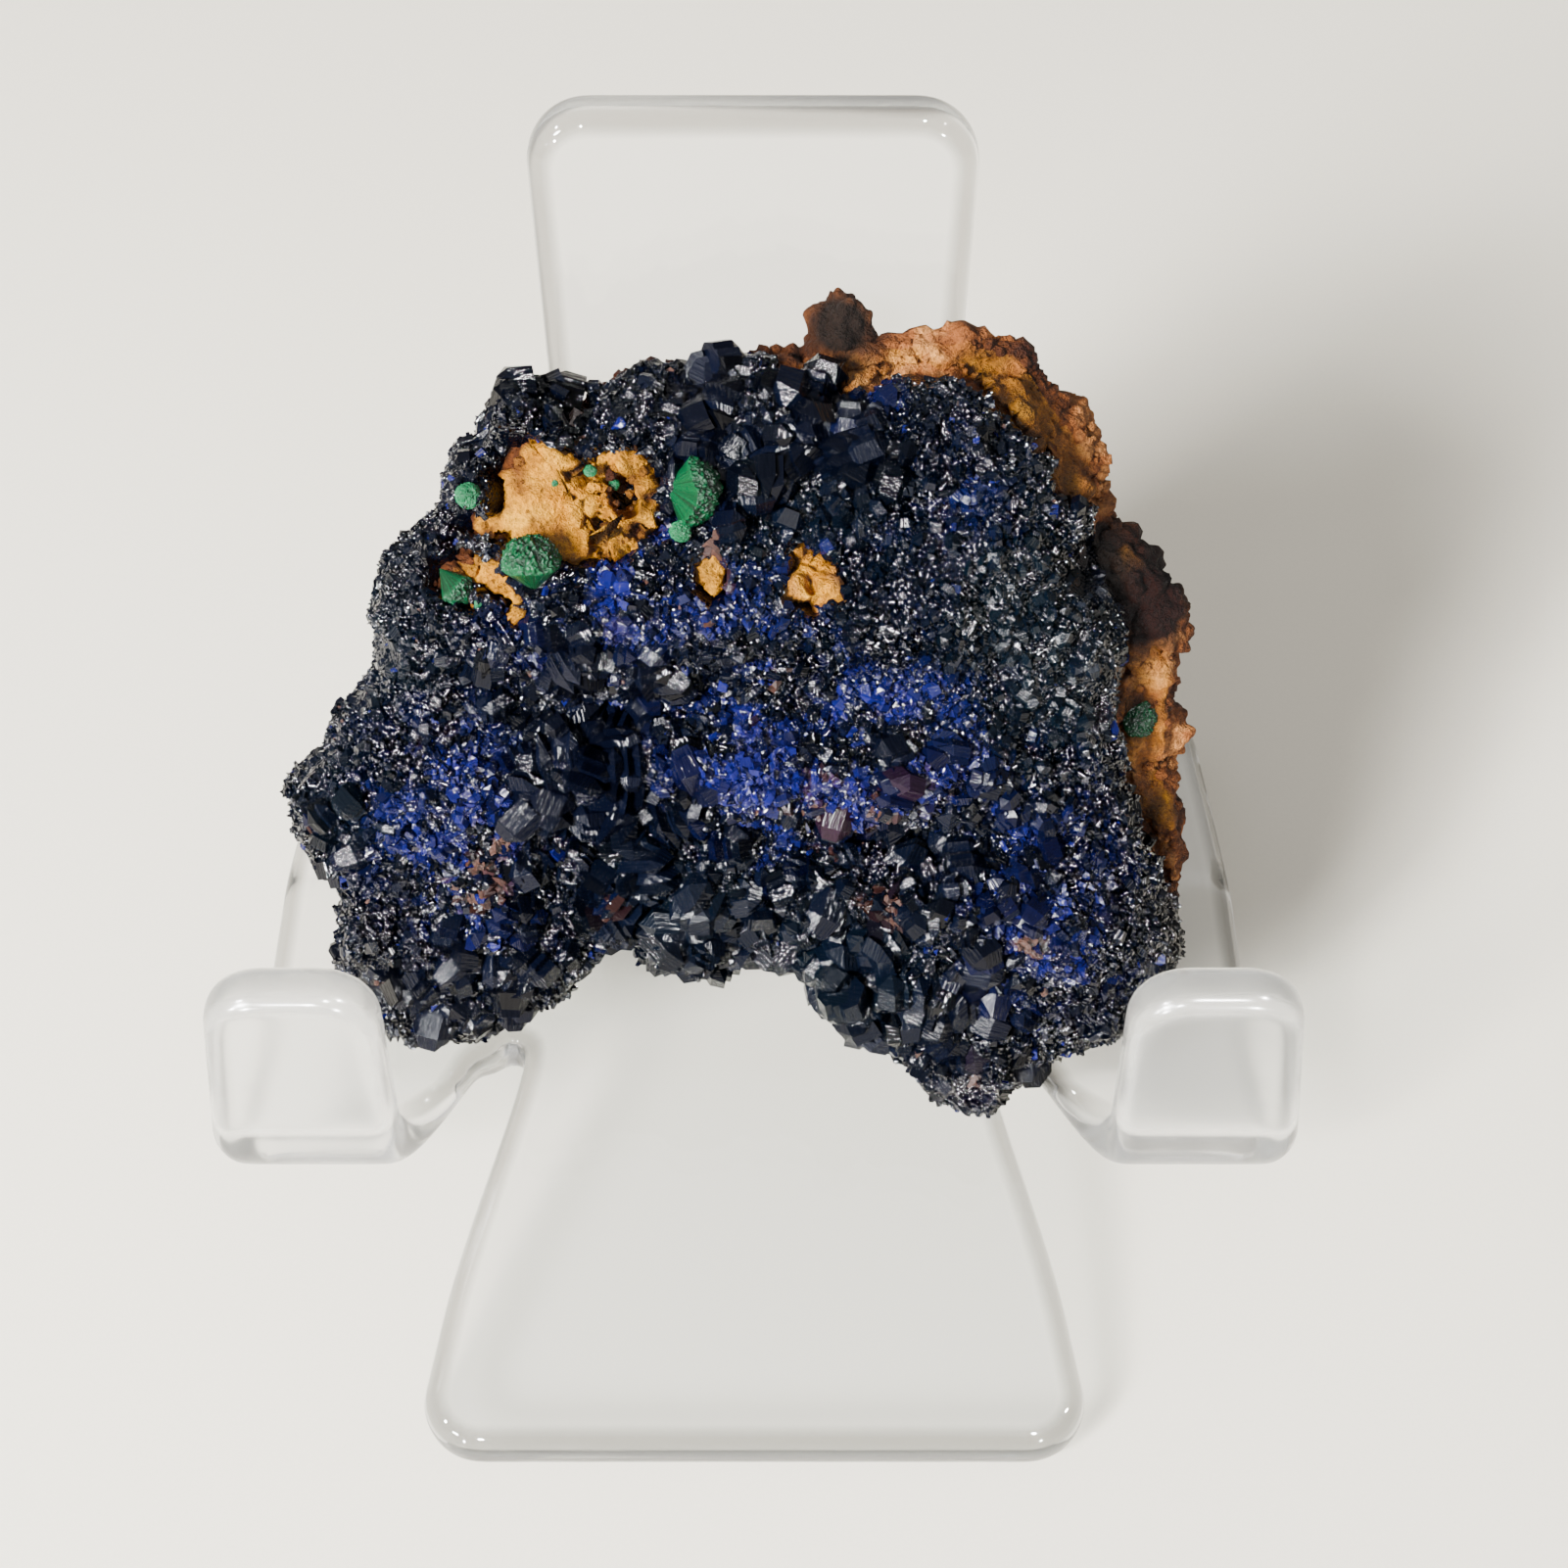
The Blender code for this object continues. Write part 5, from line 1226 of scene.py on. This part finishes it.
def azurite_material(name, settings, striped=False, shine=1.0):
    """Glassy crystals from black through navy to bright blue, slate-green in places, with dull rust on some.

    Large crystals are striped along their length, and the rest are finely pitted.
    """
    made, tree, shader = new_material(name)
    speck = from_group(tree, "Mineral Grain", {"Scale": 900.0})
    tone, rust, slate = (value_of(tree, label) for label in ("tone", "rust", "slate"))
    tone = remapped(tree, tone, 0.0, 1.0)
    colour = mixed(tree, tone, rgba(settings.dark), rgba(settings.navy))
    lively = mixed(tree, speck["Cloud"], rgba(settings.navy), rgba(settings.blue))
    colour = mixed(tree, value_of(tree, "blue"), colour, lively)
    colour = mixed(tree, slate, colour, rgba(settings.slate))
    iron = from_group(tree, "Iron Stain", {"Shade": 0.075, "Cloud": speck["Cloud"]})["Color"]
    polished = remapped(tree, tone, 0.0, 1.0, settings.sharpest, settings.dullest)
    dull = computed(tree, "MAXIMUM", rust, computed(tree, "MULTIPLY", slate, 0.3))
    dull = computed(tree, "MAXIMUM", polished, dull)
    if striped:
        where = add(tree, "ShaderNodeUVMap", uv_map="grain").outputs["UV"]
        stretched = add(tree, "ShaderNodeMapping", {"Vector": where, "Scale": (7.0, 0.6, 1.0)}).outputs[0]
        lines = add(tree, "ShaderNodeTexNoise", {"Vector": stretched, "Scale": 1.0, "Detail": 3.0}).outputs[0]
        normal = bumped(tree, lines, 0.28, 0.0003)
    else:
        normal = bumped(tree, speck["Cells"], 0.55, 0.00018)
    feed(tree, shader, {
        "Base Color": mixed(tree, rust, colour, iron), "Roughness": remapped(tree, dull, 0.0, 1.0, 0.0, 0.75),
        "Normal": normal, "IOR": settings.ior, "Specular IOR Level": settings.sheen * shine,
    })
    return made


def rock_material(name, settings):
    """Crumbly limonite: pale ochre where bare, orange at the rims, red-brown on lumps and brown behind, with
    painted shade in the pits and in the gap beside the lumps.
    """
    made, tree, shader = new_material(name)
    speck = from_group(tree, "Mineral Grain", {"Scale": 650.0})
    cloud, grain = speck["Cloud"], speck["Grain"]
    iron = from_group(tree, "Iron Stain", {"Shade": value_of(tree, "stain"), "Cloud": cloud})["Color"]
    pale = mixed(tree, remapped(tree, cloud, 0.35, 0.7), rgba(settings.ochre), rgba(settings.pale))
    colour = mixed(tree, value_of(tree, "tan"), iron, pale)
    colour = mixed(tree, value_of(tree, "red"), colour, rgba(settings.red_brown))
    colour = mixed(tree, value_of(tree, "brown"), colour, rgba(settings.brown))
    feed(tree, shader, {
        "Base Color": mixed(tree, 1.0, colour, remapped(tree, grain, 0.3, 0.6, 0.45, 1.0), "MULTIPLY"),
        "Roughness": remapped(tree, grain, 0.2, 0.8, 0.65, 0.95),
        "Normal": bumped(tree, grain, 1.0, 0.0005), "Specular IOR Level": 0.06,
    })
    return made


def malachite_material(name, settings):
    """Silky green fibres, paler along their tips."""
    made, tree, shader = new_material(name)
    speck = from_group(tree, "Mineral Grain", {"Scale": 700.0})
    fibre, tips = value_of(tree, "fibre"), remapped(tree, value_of(tree, "tip"), 0.8, 1.35)
    colour = mixed(tree, fibre, rgba(settings.deep), rgba(settings.green))
    feed(tree, shader, {
        "Base Color": mixed(tree, tips, colour, rgba(settings.pale)),
        "Roughness": remapped(tree, fibre, 0.0, 1.0, 0.55, 0.25),
        "Normal": bumped(tree, speck["Grain"], 0.35, 0.0002), "Specular IOR Level": 0.12,
    })
    return made


CAUGHT_AFTER = 4.0  # light that has turned more often than this counts as caught in the sheet


def acrylic_material(name, settings):
    """Clear acrylic: plain transmission and refraction, with a faint tint, and painted shade darkening its
    rounded edges.

    Light on its way to a shadow or the floor goes straight through, and so does light caught in the sheet.
    """
    made, tree, shader = new_material(name)
    edge = value_of(tree, "edge")
    # The Base Color is darkened along the rounded edges by the edge value: painted shade.
    feed(tree, shader, {
        "Base Color": mixed(tree, edge, rgba(settings.tint), rgba(settings.painted_edge_shade)),
        "Roughness": remapped(tree, value_of(tree, "frost"), 0.0, 1.0, settings.roughness, settings.frosted),
        "Transmission Weight": settings.clearness, "IOR": settings.ior,
    })
    path = add(tree, "ShaderNodeLightPath").outputs
    caught = computed(tree, "GREATER_THAN", path["Ray Depth"], CAUGHT_AFTER)
    shade = mixed(tree, edge, (0.87, 0.88, 0.88, 1), (0.55, 0.56, 0.56, 1))
    shade = mixed(tree, caught, shade, (0.42, 0.43, 0.42, 1))
    clear = add(tree, "ShaderNodeBsdfTransparent", {"Color": shade})
    plain = computed(tree, "MAXIMUM", path["Is Shadow Ray"], path["Is Diffuse Ray"])
    straight = computed(tree, "MAXIMUM", plain, caught)
    blend = add(tree, "ShaderNodeMixShader", {0: straight, 1: shader.outputs[0], 2: clear.outputs[0]})
    feed(tree, tree.nodes["Material Output"], {"Surface": blend.outputs[0]})
    return made


def floor_material(name, settings):
    """A plain pale floor with a faint weave."""
    made, tree, shader = new_material(name)
    speck = from_group(tree, "Mineral Grain", {"Scale": 900.0})
    shade = remapped(tree, speck["Grain"], 0.3, 0.7, 0.97, 1.0)
    feed(tree, shader, {
        "Base Color": mixed(tree, 1.0, rgba(settings.floor_colour), shade, "MULTIPLY"),
        "Roughness": 0.9, "Specular IOR Level": 0.2,
    })
    return made


# ---- Settings ----
def colour_setting(name, description, default):
    return FloatVectorProperty(
        name=name, description=description, default=default, subtype="COLOR", min=0, max=1
    )


def factor_setting(name, description, default):
    return FloatProperty(name=name, description=description, default=default, subtype="FACTOR")


def length_setting(name, description, default):
    return FloatProperty(name=name, description=description, default=default, unit="LENGTH")


def power_setting(name, description, default):
    return FloatProperty(name=name, description=description, default=default, unit="POWER")


def count_setting(name, description, default):
    return IntProperty(name=name, description=description, default=default)


class EaselSettings(bpy.types.PropertyGroup):
    """The clear easel."""

    grid_step: length_setting("Grid step", "Spacing of the points inside the sheet", 0.0009)
    tint: colour_setting("Tint", "Colour of light through the acrylic", (0.975, 0.98, 0.977))
    # The rounded edges are painted this dark colour: painted shade for the dark lines that bent light shows
    # there.
    painted_edge_shade: colour_setting("Edge tint", "Colour of light through the rounded edges", (0.28, 0.272, 0.258))
    ior: FloatProperty(name="IOR", description="Index of refraction", default=1.49)
    roughness: factor_setting("Roughness", "Roughness of the faces", 0.02)
    frosted: factor_setting("Frosted", "Roughness of the worn hooks", 0.2)
    clearness: factor_setting("Clearness", "Share of light let through", 0.97)


class CrystalSettings(bpy.types.PropertyGroup):
    """The azurite crystals."""

    fine_count: count_setting("Fine crystals", "Crystals in each half of the druse", 14000)
    medium_count: count_setting("Medium crystals", "How many medium blades", 4200)
    large_count: count_setting("Large crystals", "Large crystals added to the frame's", 310)
    dark: colour_setting("Dark", "Darkest crystals", (0.0004, 0.0005, 0.0011))
    navy: colour_setting("Navy", "Plain crystals", (0.0011, 0.0018, 0.0062))
    blue: colour_setting("Blue", "Bright druse", (0.0062, 0.0075, 0.118))
    slate: colour_setting("Slate", "Slate-green tint", (0.0009, 0.0027, 0.0055))
    ior: FloatProperty(name="IOR", description="Index of refraction", default=1.73)
    sheen: factor_setting("Sheen", "Strength of reflections", 0.15)
    sharpest: factor_setting("Sharpest", "Roughness of the glassiest", 0.03)
    dullest: factor_setting("Dullest", "Roughness of the dullest", 0.25)


class RockSettings(bpy.types.PropertyGroup):
    """The limonite rock."""

    columns: count_setting("Columns", "Points round the rock's surface", 520)
    grain_count: count_setting("Grains", "Loose-looking grains on the rock", 5000)
    crumb_height: length_setting("Crumbs", "Height of the crumbs", 0.0015)
    ochre: colour_setting("Ochre", "Bare rock", (0.42, 0.150, 0.001))
    pale: colour_setting("Pale", "Palest bare rock", (0.55, 0.255, 0.012))
    red_brown: colour_setting("Red-brown", "Lumps at the right", (0.0080, 0.0017, 0.0010))
    # This brown is also the painted shade in the gap beside the lumps.
    brown: colour_setting("Brown", "Spike and back", (0.0095, 0.0052, 0.0034))


class MalachiteSettings(bpy.types.PropertyGroup):
    """The malachite tufts."""

    deep: colour_setting("Deep", "Between the fibres", (0.0002, 0.014, 0.004))
    green: colour_setting("Green", "Fibres", (0.0004, 0.040, 0.013))
    pale: colour_setting("Pale", "Tips", (0.006, 0.105, 0.038))


class StageSettings(bpy.types.PropertyGroup):
    """The floor, the lights and the camera."""

    key_power: power_setting("Key light", "Power of the main light", 24.3)
    window_power: power_setting("Window", "Power of the window light", 1.9)
    glint_power: power_setting("Glint light", "Power of each small light", 2.6)
    world_strength: FloatProperty(name="World", description="Strength of light from all round", default=1.38)
    floor_colour: colour_setting("Floor", "Floor", (0.80, 0.747, 0.630))


SETTINGS = {
    "azurite_easel": EaselSettings,
    "azurite_crystals": CrystalSettings,
    "azurite_rock": RockSettings,
    "azurite_malachite": MalachiteSettings,
    "azurite_stage": StageSettings,
}


# ---- Operators ----
class PieceOperator:
    """Runs an operator's build, which raises an error where a piece can't be made."""

    bl_options = {"REGISTER", "UNDO"}

    def execute(self, context):
        self.build(context.scene)
        return {"FINISHED"}


class AZURITE_OT_easel(PieceOperator, bpy.types.Operator):
    """Makes the clear easel: one sheet, cut and bent, with polished, rounded edges"""

    bl_idname = "azurite.easel"
    bl_label = "Easel"

    def build(self, scene):
        settings = scene.azurite_easel
        finish = acrylic_material("clear_acrylic_sheet", settings)
        finished(new_piece("easel", easel_surface(settings), finish), "easel_stand")


class AZURITE_OT_rock(PieceOperator, bpy.types.Operator):
    """Makes the limonite rock with its crumbs, pits and grains, and the lumps fused to it"""

    bl_idname = "azurite.rock"
    bl_label = "Rock"

    def build(self, scene):
        settings = scene.azurite_rock
        finish = rock_material("limonite_rock", settings)
        stone_piece("rock", rock_surface(settings), finish, stands_for="limonite_matrix")
        stone_piece("rock_lumps", rock_lumps(), finish)
        grains = rock_grains(np.random.default_rng(SEED + 3), settings.grain_count)
        stone_piece("rock_grains", grains, finish, smooth=False)


class AZURITE_OT_crust(PieceOperator, bpy.types.Operator):
    """Makes the ground of the crust that the crystals grow from"""

    bl_idname = "azurite.crust"
    bl_label = "Crust"

    def build(self, scene):
        finish = azurite_material("azurite_ground", scene.azurite_crystals)
        stone_piece("crust_ground", crust_ground(), finish, stands_for="azurite_crust")


class AZURITE_OT_druse(PieceOperator, bpy.types.Operator):
    """Covers the crust with fine blocky crystals and medium blades"""

    bl_idname = "azurite.druse"
    bl_label = "Druse"

    def build(self, scene):
        settings = scene.azurite_crystals
        finish = azurite_material("azurite_druse", settings)
        rng = np.random.default_rng(SEED + 1)
        for number in (1, 2):
            crystals = fine_crystals(rng, settings.fine_count)
            stone_piece(f"fine_crystals_{number}", crystals, finish, smooth=False)
        finish = azurite_material("azurite_blades", settings, striped=True, shine=0.65)
        crystals = medium_crystals(rng, settings.medium_count)
        stone_piece("medium_crystals", crystals, finish, smooth=False)


class AZURITE_OT_large(PieceOperator, bpy.types.Operator):
    """Grows the large crystals as stacks of plates, in the places where the crust is coarse"""

    bl_idname = "azurite.large"
    bl_label = "Large crystals"

    def build(self, scene):
        settings = scene.azurite_crystals
        finish = azurite_material("azurite_large", settings, striped=True, shine=0.4)
        crystals = large_crystals(np.random.default_rng(SEED + 2), settings.large_count)
        stone_piece("large_crystals", crystals, finish, smooth=False)


class AZURITE_OT_malachite(PieceOperator, bpy.types.Operator):
    """Makes the silky green tufts and the specks near them"""

    bl_idname = "azurite.malachite"
    bl_label = "Malachite"

    def build(self, scene):
        finish = malachite_material("malachite_fibres", scene.azurite_malachite)
        for number, fan in enumerate(MALACHITE, start=1):
            tuft = f"malachite_tuft_{number}"
            stone_piece(f"fibres_{number}", fan_surface(*fan), finish, stands_for=tuft)
        for number, fan in enumerate(GREEN_SPECKS, start=1):
            stone_piece(f"green_speck_{number}", fan_surface(*fan), finish)


class AZURITE_OT_stage(PieceOperator, bpy.types.Operator):
    """Lays the floor and sets the lights and the camera"""

    bl_idname = "azurite.stage"
    bl_label = "Stage"

    def build(self, scene):
        settings = scene.azurite_stage
        corners = np.array(((-1, -1), (1, -1), (1, 1), (-1, 1))) * FLOOR_HALF
        floor = np.column_stack([corners, np.full(4, FLOOR_Z)]), (np.array([4]), np.arange(4))
        new_piece("floor", floor, floor_material("floor", settings))
        self.lamp(scene, "key", KEY_AT, KEY_SIZE, settings.key_power).visible_glossy = False
        self.lamp(scene, "window", WINDOW_AT, WINDOW_SIZE, settings.window_power)
        for number, at in enumerate(GLINTS, start=1):
            self.lamp(scene, f"glint_{number}", at, GLINT_SIZE, settings.glint_power).visible_diffuse = False
        scene.world = self.room(settings.world_strength)
        scene.camera = self.camera(scene)

    @staticmethod
    def lamp(scene, name, at, size, power):
        """A square lamp aimed at the stone."""
        light = bpy.data.lights.new(name, "AREA")
        light.size, light.energy = size * MM, power
        lamp = bpy.data.objects.new(name, light)
        lamp.location = Vector(at) * MM
        lamp.rotation_euler = (Vector(LAMP_TARGET) - Vector(at)).to_track_quat("-Z", "Y").to_euler()
        scene.collection.objects.link(lamp)
        return lamp

    @staticmethod
    def room(strength):
        """Soft light from all round, brightest from low down on the left."""
        world = bpy.data.worlds.new("studio")
        world.use_nodes = True
        tree = world.node_tree
        toward = add(tree, "ShaderNodeTexCoord").outputs["Generated"]
        way = add(tree, "ShaderNodeSeparateXYZ", {0: toward}).outputs
        side = remapped(tree, way[0], -0.6, 0.7, strength * 1.25, strength * 0.45)
        shade = computed(tree, "MULTIPLY", side, remapped(tree, way[2], 0.05, 0.7, 1.0, 0.5))
        feed(tree, tree.nodes["Background"], {"Color": (1.0, 0.985, 0.96, 1), "Strength": shade})
        return world

    @staticmethod
    def camera(scene):
        """A camera in front of the stone that looks down at it."""
        lens = bpy.data.cameras.new("camera")
        lens.lens, lens.clip_start, lens.clip_end = LENS, 0.005, 10
        camera = bpy.data.objects.new("camera", lens)
        rise = math.radians(CAMERA_RISE)
        away = Vector((0.0, -CAMERA_AWAY * math.cos(rise), CAMERA_AWAY * math.sin(rise)))
        camera.location = (Vector(CAMERA_TARGET) + away) * MM
        camera.rotation_euler = (math.radians(90 - CAMERA_RISE), 0, 0)
        scene.collection.objects.link(camera)
        return camera


OPERATORS = (
    AZURITE_OT_easel, AZURITE_OT_rock, AZURITE_OT_crust, AZURITE_OT_druse, AZURITE_OT_large,
    AZURITE_OT_malachite, AZURITE_OT_stage,
)


class AZURITE_PT_panel(bpy.types.Panel):
    """Lists the pieces and their settings"""

    bl_label = "Azurite on an Easel"
    bl_idname = "AZURITE_PT_panel"
    bl_space_type = "VIEW_3D"
    bl_region_type = "UI"
    bl_category = "Azurite"

    def draw(self, context):
        for operator in OPERATORS:
            self.layout.operator(operator.bl_idname)
        for name, group in SETTINGS.items():
            box = self.layout.box()
            box.label(text=group.__doc__)
            for setting in group.__annotations__:
                box.prop(getattr(context.scene, name), setting)


def register():
    for kind in (*SETTINGS.values(), *OPERATORS, AZURITE_PT_panel):
        bpy.utils.register_class(kind)
    for name, group in SETTINGS.items():
        setattr(bpy.types.Scene, name, PointerProperty(type=group))


def unregister():
    for name in SETTINGS:
        delattr(bpy.types.Scene, name)
    for kind in (AZURITE_PT_panel, *reversed(OPERATORS), *reversed(SETTINGS.values())):
        bpy.utils.unregister_class(kind)


def main():
    register()
    for operator in OPERATORS:
        group, name = operator.bl_idname.split(".")
        getattr(getattr(bpy.ops, group), name)()


if __name__ == "__main__":
    main()
